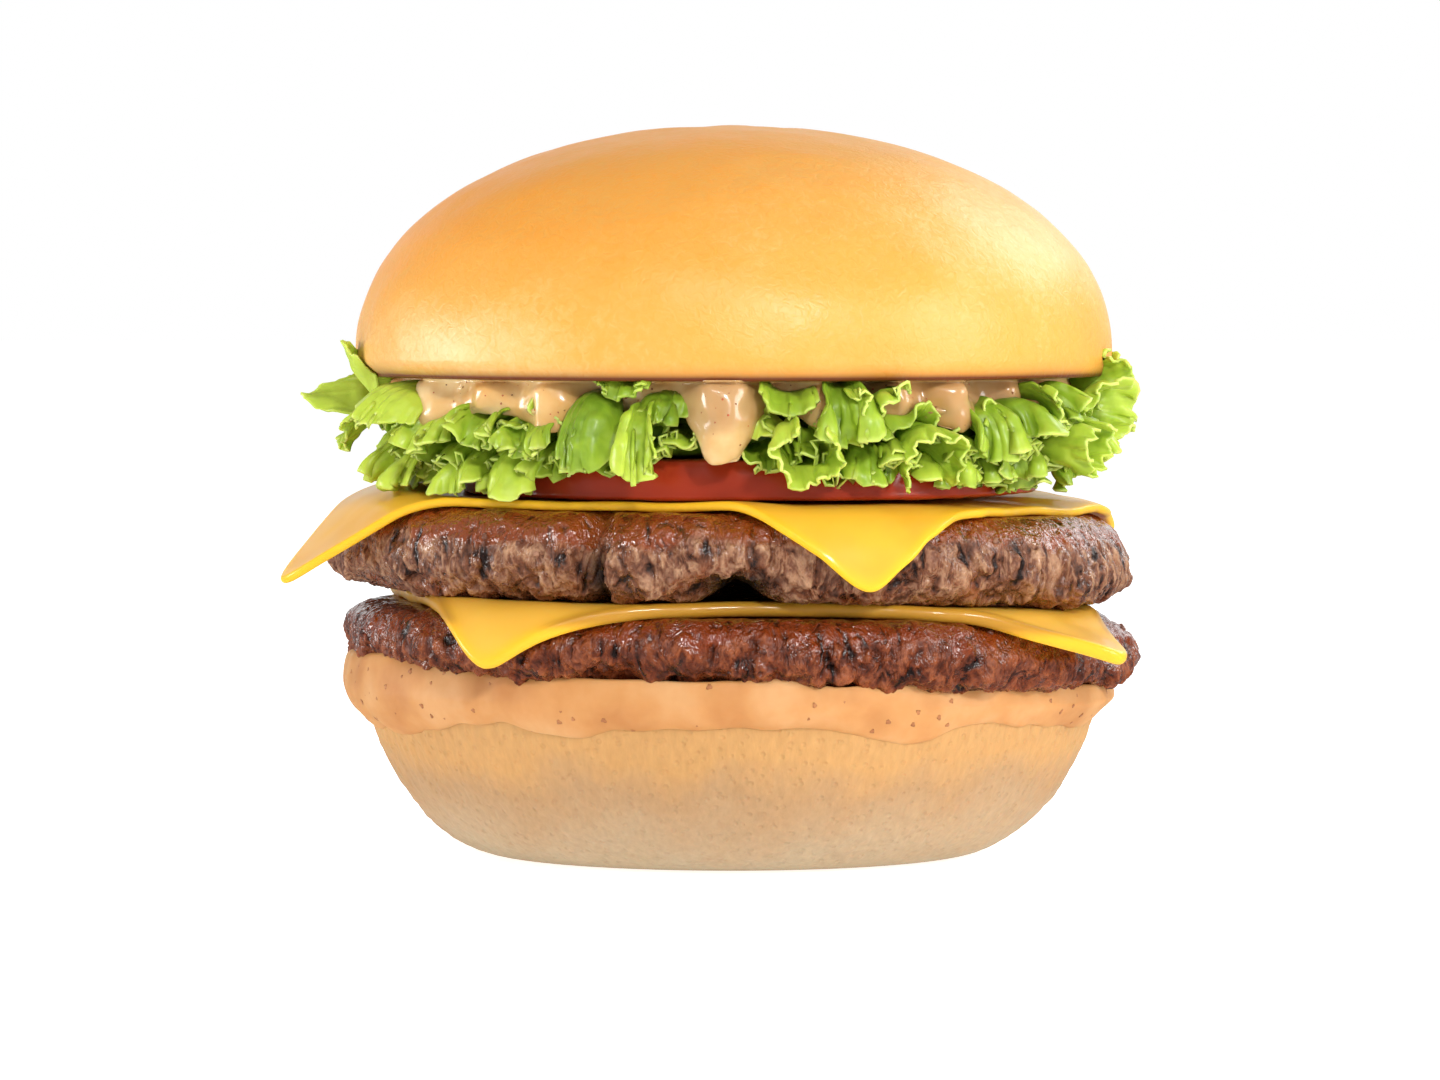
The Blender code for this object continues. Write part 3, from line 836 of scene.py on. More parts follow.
@dataclass(frozen=True)
class FreshLeaf:
    """Green leaf lettuce, crisp and wet: glossy, lighter towards its thin frilled margin."""

    dark: str = "#466C12"
    green: str = "#8AA62A"
    bright: str = "#B4C842"
    margin: str = "#D6E47C"

    def material(self) -> bpy.types.Material:
        """The finished material. Light passes through the leaf, and its colour is painted lighter on the folds' crests
        and darker in their hollows.
        """
        material, tree, shader = new_material(
            "lettuce_leaf_fresh", IOR=1.42, Roughness=0.34, Subsurface_Weight=0.25, Subsurface_Scale=0.0012
        )
        shader.inputs["Subsurface Radius"].default_value = (0.6, 1.0, 0.15)
        place = add(tree, "ShaderNodeTexCoord").outputs["Object"]
        rim = add(tree, "ShaderNodeAttribute", attribute_name="rim").outputs["Fac"]
        crest = add(tree, "ShaderNodeAttribute", attribute_name="crest").outputs["Fac"]
        veins = add(
            tree, "ShaderNodeTexNoise", {"Vector": place, "Scale": 380.0, "Detail": 4.0, "Distortion": 0.7}
        ).outputs[0]
        # Painted light on the folds' crests and painted shade in their hollows, over the veins
        tone = add(tree, "ShaderNodeMath", {0: veins, 1: 0.5, 2: crest}, operation="MULTIPLY_ADD").outputs[0]
        colour = add(
            tree,
            "ShaderNodeValToRGB",
            {0: tone},
            stops=((0.20, self.dark), (0.62, self.green), (1.0, self.bright)),
        ).outputs[0]
        colour = add(tree, "ShaderNodeMix", {0: rim, 6: colour, 7: self.margin}, data_type="RGBA").outputs[2]
        tree.links.new(colour, shader.inputs["Base Color"])
        bump = add(tree, "ShaderNodeBump", {"Strength": 0.35, "Distance": 0.0002, "Height": veins}).outputs[0]
        tree.links.new(bump, shader.inputs["Normal"])
        return material


@dataclass(frozen=True)
class BurgerSauce:
    """Mayonnaise sauce with relish and spice: creamy, wet and smooth."""

    name: str
    base: str
    light: str
    stain: str
    wetness: float
    """Roughness of its skin."""
    film: float
    """Weight of the film of fat and water on it."""

    def material(self) -> bpy.types.Material:
        """The finished material. Fat and water make it shine, and light sinks a little way in."""
        material, tree, shader = new_material(
            self.name, IOR=1.42, Roughness=self.wetness, Subsurface_Weight=0.35, Subsurface_Scale=0.002,
            Coat_Weight=self.film, Coat_Roughness=0.12,
        )
        shader.inputs["Subsurface Radius"].default_value = (1.0, 0.6, 0.35)
        place = add(tree, "ShaderNodeTexCoord").outputs["Object"]
        soft = add(tree, "ShaderNodeTexNoise", {"Vector": place, "Scale": 130.0, "Detail": 4.0}).outputs[0]
        colour = add(
            tree, "ShaderNodeValToRGB", {0: soft}, stops=((0.30, self.stain), (0.5, self.base), (0.70, self.light))
        ).outputs[0]
        spiced = add(tree, "ShaderNodeAttribute", attribute_name="spiced").outputs["Fac"]
        # Brown for spice in the drip, and painted shade on the right-hand side
        colour = add(tree, "ShaderNodeMix", {0: spiced, 6: colour, 7: "#A97D50"}, data_type="RGBA").outputs[2]
        tree.links.new(colour, shader.inputs["Base Color"])
        bump = add(tree, "ShaderNodeBump", {"Strength": 0.2, "Distance": 0.0003, "Height": soft}).outputs[0]
        tree.links.new(bump, shader.inputs["Normal"])
        return material


@dataclass(frozen=True)
class Speck:
    """Crushed spice, herb or charred crumb: tiny, opaque and dull."""

    name: str
    colour: str
    other: str
    roughness: float = 0.6

    def material(self) -> bpy.types.Material:
        """The finished material, whose colour changes from one grain to the next."""
        material, tree, shader = new_material(self.name, Roughness=self.roughness, IOR=1.45)
        place = add(tree, "ShaderNodeTexCoord").outputs["Object"]
        change = add(tree, "ShaderNodeTexNoise", {"Vector": place, "Scale": 500.0, "Detail": 1.0}).outputs[0]
        colour = add(
            tree, "ShaderNodeValToRGB", {0: change}, stops=((0.40, self.colour), (0.60, self.other))
        ).outputs[0]
        tree.links.new(colour, shader.inputs["Base Color"])
        return material


@dataclass(frozen=True)
class StudioFloor:
    """Matt white studio paper."""

    white: str = "#F6F6F6"

    def material(self) -> bpy.types.Material:
        """The finished material: even and without a shine."""
        material, tree, shader = new_material("studio_paper_matt", Roughness=0.95, Emission_Strength=0.72)
        shader.inputs["Emission Color"].default_value = linear("#FFFFFF")
        place = add(tree, "ShaderNodeTexCoord").outputs["Object"]
        pulp = add(tree, "ShaderNodeTexNoise", {"Vector": place, "Scale": 40.0, "Detail": 2.0}).outputs[0]
        colour = add(
            tree, "ShaderNodeValToRGB", {0: pulp}, stops=((0.3, self.white), (0.7, "#FAFAFA"))
        ).outputs[0]
        tree.links.new(colour, shader.inputs["Base Color"])
        return material


# The buns


@dataclass(frozen=True)
class Crown:
    """Upper half of the bun: a full dome whose base edge is tucked in on the left and toasted."""

    radius: float = CROWN_RADIUS
    widest_above_base: float = 0.0020
    cut_edge: float = 0.0005
    slump: float = 0.0006
    """How far the rim has sunk onto the sauce."""
    columns: int = 360
    rows: int = 110
    finish: BakedCrust = field(default_factory=BakedCrust)

    def outline(self, angles: Array) -> tuple[Array, Array]:
        """Radius and height of every row, from the middle underneath to the top.

        Args:
            angles: directions round the axis.

        Returns:
            Two arrays by direction and row.
        """
        floor, ceiling = level("crown_bun")
        turn = angles[:, None]
        tuck = 0.0004 + 0.0014 * swell(turn, LEFT, 1.0)
        around = self.radius + ripple(turn, ((2, 0.0002, 0.4), (3, 0.0002, 2.2)))
        flat = np.linspace(0.08, 1.0, 8) * (around - tuck - self.cut_edge)
        flat_height = floor - self.slump * ease(flat, 0.0400, 0.0470)
        rim = floor - self.slump
        round_edge = np.radians(np.linspace(-80, 0, 7))
        edge = around - tuck - self.cut_edge + self.cut_edge * np.cos(round_edge)
        edge_height = rim + self.cut_edge * (1 + np.sin(round_edge)) + 0 * turn
        share = np.linspace(0.12, 0.95, 7)
        flank = between(around - tuck, around, np.sin(share * math.pi / 2))
        flank_height = between(rim + self.cut_edge, floor + self.widest_above_base, share) + 0 * turn
        climb = np.radians(np.linspace(0, 89.2, self.rows - 22))
        dome = around * np.cos(climb) ** (2 / 2.1)
        dome_height = between(floor + self.widest_above_base, ceiling, np.sin(climb) ** (2 / 2.2)) + 0 * turn
        radius = np.concatenate([flat, edge, flank, dome], axis=1)
        height = np.concatenate([flat_height, edge_height, flank_height, dome_height], axis=1)
        return radius, height

    def build(self) -> None:
        """Makes the crown, a little uneven as a baked bun is."""
        floor, ceiling = level("crown_bun")
        angles = even_angles(self.columns)
        grid = spun(*self.outline(angles), angles)
        off_pole = ease(np.hypot(grid[..., 0], grid[..., 1]), 0.0006, 0.0060)
        outside = ease(grid[..., 2], floor + 0.0001, floor + 0.0030) * off_pole
        uneven = 0.00026 * clouds(grid, 0.013, 4) + 0.00012 * clouds(grid, 0.0045, 5)
        grid += facing(grid, True) * (outside * (uneven - 0.0001))[..., None]
        tall = (grid[..., 2] - floor) / (ceiling - floor)
        spread = clouds(grid, 0.020, 6)
        across = grid[..., 0] / self.radius
        # Golden on top and to the left, paler to the right from baking and from painted highlight; the pale spot low on
        # the left is a painted highlight
        browned = 0.56 - across * (0.10 + 0.60 * (tall - 0.25)) + 0.10 * spread
        browned -= 0.36 * np.exp(-(((across + 0.70) / 0.40) ** 2) - ((tall - 0.10) / 0.24) ** 2)
        toast = np.exp(-np.maximum(grid[..., 2] - floor + self.slump - 0.0004, 0) / 0.0005)
        grid[..., 0] += CROWN_SHIFT
        poles = ((CROWN_SHIFT, 0, floor), (CROWN_SHIFT, 0, ceiling))
        piece = skin("crown", grid, poles=poles, browned=browned, toast=toast)
        piece.data.materials.append(self.finish.material())
        hand_over(piece, "crown_bun", "crown_bun")


def heel_radius(height: Array, angle: Array) -> Array:
    """Outer radius of the heel, which flares in a flattened curve from its resting face.

    Args:
        height: heights above the resting face.
        angle: directions round the axis.

    Returns:
        The radius at each height and direction.
    """
    share = np.clip(height / level("heel_bun")[1], 0.0, 1.0)
    flare = np.sqrt(1 - (1 - share) ** 1.4)
    uneven = ripple(angle, ((2, 0.0004, 0.6), (5, 0.0003, 1.9)))
    return between(HEEL_BASE_RADIUS, HEEL_TOP_RADIUS, flare) + uneven * flare


@dataclass(frozen=True)
class Heel:
    """Lower half of the bun: a flat foot and a flared side that baked against its neighbours."""

    cut_edge: float = 0.0010
    columns: int = 620
    rows: int = 84
    tear: float = 0.00016
    """How rough the torn side is."""
    finish: BreadSide = field(default_factory=BreadSide)

    def build(self) -> None:
        """Makes the heel, with the fine upright tears of its side in the mesh."""
        floor, ceiling = level("heel_bun")
        angles = even_angles(self.columns)
        turn = angles[:, None]
        foot = np.linspace(0.05, 0.97, 10) * HEEL_BASE_RADIUS + 0 * turn
        heights = (ceiling - self.cut_edge) * np.linspace(0.0, 1.0, self.rows) ** 1.6 + 0 * turn
        side = heel_radius(heights, turn)
        top = np.linspace(1.0, 0.05, 10) * (heel_radius(ceiling, turn) - self.cut_edge)
        radius = np.concatenate([foot, side, top], axis=1)
        height = np.concatenate([0 * foot + floor, heights, 0 * top + ceiling], axis=1)
        grid = spun(radius, height, angles)
        tall = grid * np.array([1.0, 1.0, 0.35])
        tear = clouds(tall, 0.0009, 21) + 0.8 * clouds(grid, 0.0026, 22) + 0.9 * clouds(grid, 0.009, 23)
        side_only = ease(grid[..., 2], floor, 0.0022) * (1 - ease(grid[..., 2], 0.0190, 0.0205))
        grid += facing(grid, True) * (side_only * self.tear * (tear - 0.5))[..., None]
        piece = skin("heel", grid, poles=((0, 0, floor), (0, 0, ceiling)), height=grid[..., 2] / ceiling)
        piece.data.materials.append(self.finish.material())
        hand_over(piece, "heel_bun", "heel_bun")


# The sauces


@dataclass(frozen=True)
class LowerSauce:
    """Sauce spread on the heel and squeezed out over its rim into a wavy lip."""

    clear: float = 0.0004
    lip_depth: float = 0.0024
    squeeze: float = 0.0011
    """How far it is pressed up round the foot of the patty."""
    columns: int = 620
    rows: int = 92
    finish: BurgerSauce = BurgerSauce("sauce_spread_thick", "#C38A50", "#CC9964", "#B67A42", 0.60, 0.0)
    specks: Speck = Speck("spice_specks_drowned", "#AE7142", "#9C6136", 0.6)

    def section(self, angles: Array) -> Array:
        """Main points of the section in each direction.

        Args:
            angles: directions round the axis.

        Returns:
            Radius and height by direction and point.
        """
        floor, ceiling = level("lower_sauce")
        lip = floor - self.lip_depth - 0.0010 * swell(angles, LEFT, 0.5) - 0.0008 * swell(angles, RIGHT, 0.5)
        lip += ripple(angles, ((3, 0.0004, 0.3), (8, 0.0007, 1.2), (13, 0.0004, 0.2)))
        lip += 0.0005 * wander(angles * 0.05, 0.0040, 31)
        rise = self.squeeze + 0.0018 * swell(angles, math.radians(-152), 0.42) + 0.0004 * wander(angles * 0.05, 0.005, 35)
        inner = heel_radius(lip, angles) + 0.2 * self.clear
        bulge = 0.0016 + 0.0012 * swell(angles, LEFT, 0.6)
        bulge += ripple(angles, ((4, 0.0003, 2.0), (9, 0.0002, 0.8))) + 0.0002 * wander(angles * 0.05, 0.003, 32)
        outer = heel_radius(floor, angles) + self.clear + bulge
        fullest = between(floor, ceiling, 0.55)
        flat = 0 * angles
        points = [
            (0.02 + flat, floor + flat),
            (0.035 + flat, floor + flat),
            (0.044 + flat, floor + flat),
            (heel_radius(floor, angles) - 0.0018, floor + flat),
            (heel_radius(floor, angles) - 0.0004, floor + flat),
            (inner - 0.0005, lip + 0.0004),
            (inner + 0.0002, lip),
            (between(inner, outer, 0.60), between(lip, fullest, 0.28)),
            (between(inner, outer, 0.92), between(lip, fullest, 0.64)),
            (outer, fullest + flat),
            (outer - 0.0002 - 0.20 * rise, ceiling + 0.60 * rise),
            (outer - 0.0006 - 0.50 * rise, ceiling + rise),
            (outer - 0.0022 - 0.50 * rise, ceiling + 0.75 * rise),
            (outer - 0.0070, ceiling + flat),
            (0.02 + flat, ceiling + flat),
        ]
        return np.stack([np.stack(point, axis=-1) for point in points], axis=1)

    def build(self, scatter: bpy.types.NodeTree) -> None:
        """Makes the sauce and the specks in it."""
        floor, ceiling = level("lower_sauce")
        angles = even_angles(self.columns)
        line = threaded(self.section(angles), self.rows)
        grid = spun(line[..., 0], line[..., 1], angles)
        outside = ease(np.hypot(grid[..., 0], grid[..., 1]), 0.0450, 0.0490)
        lumps = 0.00040 * clouds(grid, 0.0070, 33) + 0.00010 * clouds(grid, 0.0030, 34)
        grid += facing(grid, True) * (outside * np.maximum(lumps, -0.0002))[..., None]
        outer_wall = np.linspace(0, 14, self.rows) >= 6
        sunk = outer_wall * ease(grid[..., 2], floor - 0.0026, ceiling)
        grid[..., 2] -= sunk * sag(grid[..., 0], grid[..., 1])
        piece = skin("sauce_below", grid, poles=((0, 0, floor), (0, 0, ceiling)))
        piece.data.materials.append(self.finish.material())
        places = points_of(piece)
        where = ease(np.hypot(places[:, 0], places[:, 1]), 0.0490, 0.0500)
        sizes = {"Spacing": 0.0016, "Density": 45000.0, "Smallest": 0.00014, "Largest": 0.00044, "Flatness": 0.2,
                 "Depth": 0.00002, "Seed": 3, "Material": self.specks.material()}
        specks = strew(piece, "sauce_below_specks", scatter, where, sizes)
        hand_over(piece, "lower_sauce", "lower_sauce")
        hand_over(specks, "lower_sauce")


@dataclass(frozen=True)
class UpperSauce:
    """Sauce between lettuce and crown: it oozes out in blobs and runs down in one long drip."""

    radius: float = 0.0455
    drip_length: float = 0.0072
    drip_reach: float = 0.0054
    drip_width: float = 0.070
    columns: int = 860
    rows: int = 84
    oozes: tuple = (
        (-163, 0.12, 4.4, 1.2),
        (-147, 0.12, 4.6, 2.0),
        (-133, 0.11, 4.4, 1.0),
        (-121, 0.09, 5.2, 2.6),
        (-77, 0.06, 4.2, 2.2),
        (-63, 0.05, 3.0, 1.0),
        (-54, 0.09, 4.4, 3.0),
        (-40, 0.07, 4.2, 2.4),
        (-22, 0.12, 3.6, 0.8),
    )
    """Direction in degrees, width in radians, and how far out and down in mm each blob stands."""
    finish: BurgerSauce = BurgerSauce("sauce_dressing_glossy", "#D8AE72", "#ECCD96", "#D0964C", 0.22, 0.45)
    specks: Speck = Speck("spice_specks_ground", "#8C5A2E", "#B5512B", 0.5)

    def section(self, angles: Array) -> Array:
        """Main points of the section in each direction.

        Args:
            angles: directions round the axis.

        Returns:
            Radius and height by direction and point.
        """
        floor, ceiling = level("upper_sauce")
        drip = swell(angles, DRIP_ANGLE, self.drip_width)
        reach = self.radius + ripple(angles, ((3, 0.0006, 0.5), (8, 0.0007, 2.4))) + self.drip_reach * drip**0.5
        lip = floor - self.drip_length * ease(drip, -0.1, 0.85)
        for degrees, width, outward, down in self.oozes:
            blob = swell(angles, math.radians(degrees), width)
            reach = reach + outward * MM * blob * (1 - drip)
            lip = lip - down * MM * blob * (1 - drip)
        thick = 0.0018 + 0.0012 * drip**0.5
        shoulder = np.minimum(reach - 0.0008, CROWN_RADIUS - 0.0010)
        flat = 0 * angles
        points = [
            (0.02 + flat, floor + flat),
            (reach - thick - 0.0010, floor + 0.0001 + flat),
            (reach - thick, between(lip, floor, 0.5)),
            (reach - 0.55 * thick, lip),
            (reach - 0.0002, between(lip, floor, 0.30)),
            (reach, between(floor, ceiling, 0.30) + flat),
            (shoulder, ceiling - 0.0007 + flat),
            (shoulder - 0.0020, ceiling + flat),
            (0.02 + flat, ceiling + flat),
        ]
        return np.stack([np.stack(point, axis=-1) for point in points], axis=1)

    def build(self, scatter: bpy.types.NodeTree) -> None:
        """Makes the sauce and the specks on it."""
        floor, ceiling = level("upper_sauce")
        angles = even_angles(self.columns)
        line = threaded(self.section(angles), self.rows)
        grid = spun(line[..., 0], line[..., 1], angles)
        outside = ease(np.hypot(grid[..., 0], grid[..., 1]), 0.0400, 0.0440)
        outside *= 1 - ease(grid[..., 2], ceiling - 0.0012, ceiling)
        lumps = 0.00070 * clouds(grid, 0.0046, 41) + 0.00035 * clouds(grid, 0.0020, 42)
        grid += facing(grid, True) * (outside * lumps)[..., None]
        grid[..., 0] += FILLING_SHIFT
        # Darker in the upper part of the drip; on the right-hand side it is painted shade
        spiced = swell(angles, DRIP_ANGLE, 0.14)[:, None] * ease(grid[..., 2], floor - 0.0045, floor - 0.0010)
        spiced = np.maximum(spiced, swell(angles, math.radians(-42), 0.55)[:, None])
        poles = ((FILLING_SHIFT, 0, floor), (FILLING_SHIFT, 0, ceiling))
        piece = skin("sauce_above", grid, poles=poles, spiced=0.8 * spiced)
        piece.data.materials.append(self.finish.material())
        places = points_of(piece)
        where = ease(np.hypot(places[:, 0], places[:, 1]), 0.0440, 0.0460)
        sizes = {"Spacing": 0.0008, "Density": 160000.0, "Smallest": 0.00006, "Largest": 0.00017, "Flatness": 0.5,
                 "Depth": 0.00001, "Seed": 8, "Material": self.specks.material()}
        specks = strew(piece, "sauce_above_specks", scatter, where, sizes)
        hand_over(piece, "upper_sauce", "upper_sauce")
        hand_over(specks, "upper_sauce")


# The patties


def dents(angle: Array, places: tuple) -> Array:
    """Depth of the dents pressed into a rim. places holds (angle, width, depth) for each."""
    return sum((depth * swell(angle, at, width) for at, width, depth in places), start=0 * angle)


@dataclass(frozen=True)
class Patty:
    """A fried patty: flat faces, a round shoulder on top and a flatter curve underneath."""

    node: str
    edge_waves: tuple
    """Unevenness of the rim: (count round the axis, height, phase) of each wave."""
    shoulders: tuple
    """Radius of the upper edge at the front and back, and at the two sides."""
    foot_width: float
    seed: int
    relief: dict
    finish: FriedBeef
    crumbs: Speck
    creases: tuple = ()
    """Dents in the side: (angle, width, depth) of each."""
    hollows: tuple = ()
    """Dents under the rim, stated likewise."""
    brow: float = 0.0
    """How much higher its widest line lies on the left."""
    sunk: float = 0.0
    """How far its underside has settled into what it lies on."""
    columns: int = 1050

    def radius(self, angle: Array) -> Array:
        """Outer radius of the rim in a direction."""
        return PATTY_RADIUS + ripple(angle, self.edge_waves)

    def shoulder(self, angle: Array) -> Array:
        """Radius of the upper edge in a direction."""
        return between(*self.shoulders, np.cos(angle) ** 2)

    def outline(self, angles: Array) -> tuple[Array, Array]:
        """Radius and height of every row, from the middle underneath to the top.

        Args:
            angles: directions round the axis.

        Returns:
            Two arrays by direction and row.
        """
        floor, ceiling = level(self.node)
        floor -= self.sunk
        turn = angles[:, None]
        edge = self.radius(turn) - dents(turn, self.creases)
        lifted = floor + dents(turn, self.hollows)
        shoulder = self.shoulder(turn)
        waist = ceiling - shoulder + self.brow * swell(turn, LEFT, 0.5)
        under = np.radians(np.linspace(-90, -7, 34))
        foot = edge - self.foot_width + self.foot_width * np.cos(under)
        foot_height = waist + (waist - lifted) * np.sin(under)
        over = np.radians(np.linspace(0, 90, 40))
        head = edge - shoulder + shoulder * np.cos(over)
        head_height = waist + (ceiling - waist) * np.sin(over)
        first = between(0.004, foot[:, :1] - 0.0006, np.linspace(0, 1, 7) ** 0.6)
        last = between(head[:, -1:] - 0.0006, 0.004, np.linspace(0, 1, 9) ** 1.4)
        radius = np.concatenate([first, foot, head, last], axis=1)
        first_height = between(floor, lifted, ease(first, LEVEL_RADIUS, 0.045))
        height = np.concatenate([first_height, foot_height, head_height, 0 * last + ceiling], axis=1)
        return radius, height

    def build(self, relief: bpy.types.NodeTree, scatter: bpy.types.NodeTree) -> None:
        """Makes the patty, its minced relief and the crumbs that stick to it."""
        floor, ceiling = level(self.node)
        angles = front_angles(self.columns)
        grid = spun(*self.outline(angles), angles)
        far = np.hypot(grid[..., 0], grid[..., 1])
        side = ease(far, PATTY_RADIUS - 0.009, PATTY_RADIUS - 0.002)
        tall = (grid[..., 2] - floor) / (ceiling - floor)
        side *= 1 - 0.55 * ease(tall, 0.55, 0.85)
        lumps = 0.00085 * clouds(grid, 0.0080, self.seed) + 0.00060 * clouds(grid, 0.0038, self.seed + 1)
        grid += facing(grid, True) * (side * (lumps - 0.0002))[..., None]
        ragged = clouds(grid, 0.0050, self.seed + 2)
        around = np.arctan2(grid[..., 1], grid[..., 0])
        # Painted shade, deepest low in the creases and in the hollows under the rim
        char = dents(around, self.hollows) / 0.0022 * (1 - ease(tall, 0.20, 0.34))
        char = char + dents(around, self.creases) ** 2 / 0.0045**2 * (1 - ease(tall, 0.30, 0.75))
        char = np.clip(char * ease(far, 0.030, 0.034), 0.0, 1.0)
        sear = ease(tall + 0.16 * ragged, 0.55, 0.90) + 0.25 * ease(0.22 - tall + 0.2 * ragged, 0.0, 0.25)
        rough = ease(far, 0.043, 0.050) * (1 - 0.60 * ease(tall, 0.55, 0.90))
        rough *= 0.85 + 0.35 * clouds(grid, 0.012, self.seed + 3)
        grid[..., 2] -= sag(grid[..., 0], grid[..., 1])
        grid[..., 0] += FILLING_SHIFT
        poles = ((FILLING_SHIFT, 0, floor), (FILLING_SHIFT, 0, ceiling))
        piece = skin(self.node + "_meat", grid, poles=poles, rough=rough, sear=sear, char=char)
        meat = self.finish.material()
        piece.data.materials.append(meat)
        grow(piece, relief, self.relief | {"Seed": float(self.seed), "Material": meat})
        places = points_of(piece)
        where = ease(np.hypot(places[:, 0] - FILLING_SHIFT, places[:, 1]), 0.0500, 0.0525)
        where *= ease(clouds(places, 0.007, self.seed + 4), -0.2, 0.5)
        sizes = {"Spacing": 0.0013, "Density": 90000.0, "Smallest": 0.00016, "Largest": 0.00050, "Flatness": 0.7,
                 "Depth": 0.0001, "Seed": self.seed, "Material": self.crumbs.material()}
        crumbs = strew(piece, self.node + "_crumbs", scatter, where, sizes)
        hand_over(piece, self.node, self.node)
        hand_over(crumbs, self.node)


LOWER_PATTY = Patty(
    node="lower_patty",
    edge_waves=((2, 0.0006, 1.5), (5, 0.0006, 0.4), (9, 0.0004, 2.6)),
    shoulders=(0.0045, 0.0060),
    foot_width=0.0050,
    brow=0.0026,
    sunk=0.0003,
    seed=51,
    relief={
        "Granule Size": 0.0032, "Granule Height": 0.00060, "Strand Size": 0.0020, "Strand Height": 0.00030,
        "Crumb Size": 0.0009, "Crumb Height": 0.00018, "Pit Size": 0.0046, "Pit Depth": 0.0008,
    },
    finish=FriedBeef("beef_fried_dark", "#180603", "#5E2812", "#98532F", "#742E0C", 0.14, 0.50),
    crumbs=Speck("beef_crumbs_dark", "#4A2216", "#70402C", 0.3),
)
UPPER_PATTY = Patty(
    node="upper_patty",
    edge_waves=((1, 0.0006, -1.6), (2, 0.0008, 1.6), (10, 0.0004, 1.1)),
    shoulders=(0.0052, 0.0080),
    foot_width=0.0070,
    creases=((math.radians(-111.5), 0.040, 0.0042), (math.radians(-38), 0.09, 0.0012)),
    hollows=((FRONT, 0.080, 0.0031),),
    sunk=0.0009,
    seed=61,
    relief={
        "Granule Size": 0.0034, "Granule Height": 0.00060, "Strand Size": 0.0019, "Strand Height": 0.00040,
        "Crumb Size": 0.0009, "Crumb Height": 0.00018, "Pit Size": 0.0048, "Pit Depth": 0.0009,
    },
    finish=FriedBeef("beef_fried_brown", "#1E0C06", "#70432D", "#B98E6C", "#803A14", 0.16, 0.56),
    crumbs=Speck("beef_crumbs_brown", "#6B412F", "#9A6E55", 0.5),
)


# The cheese


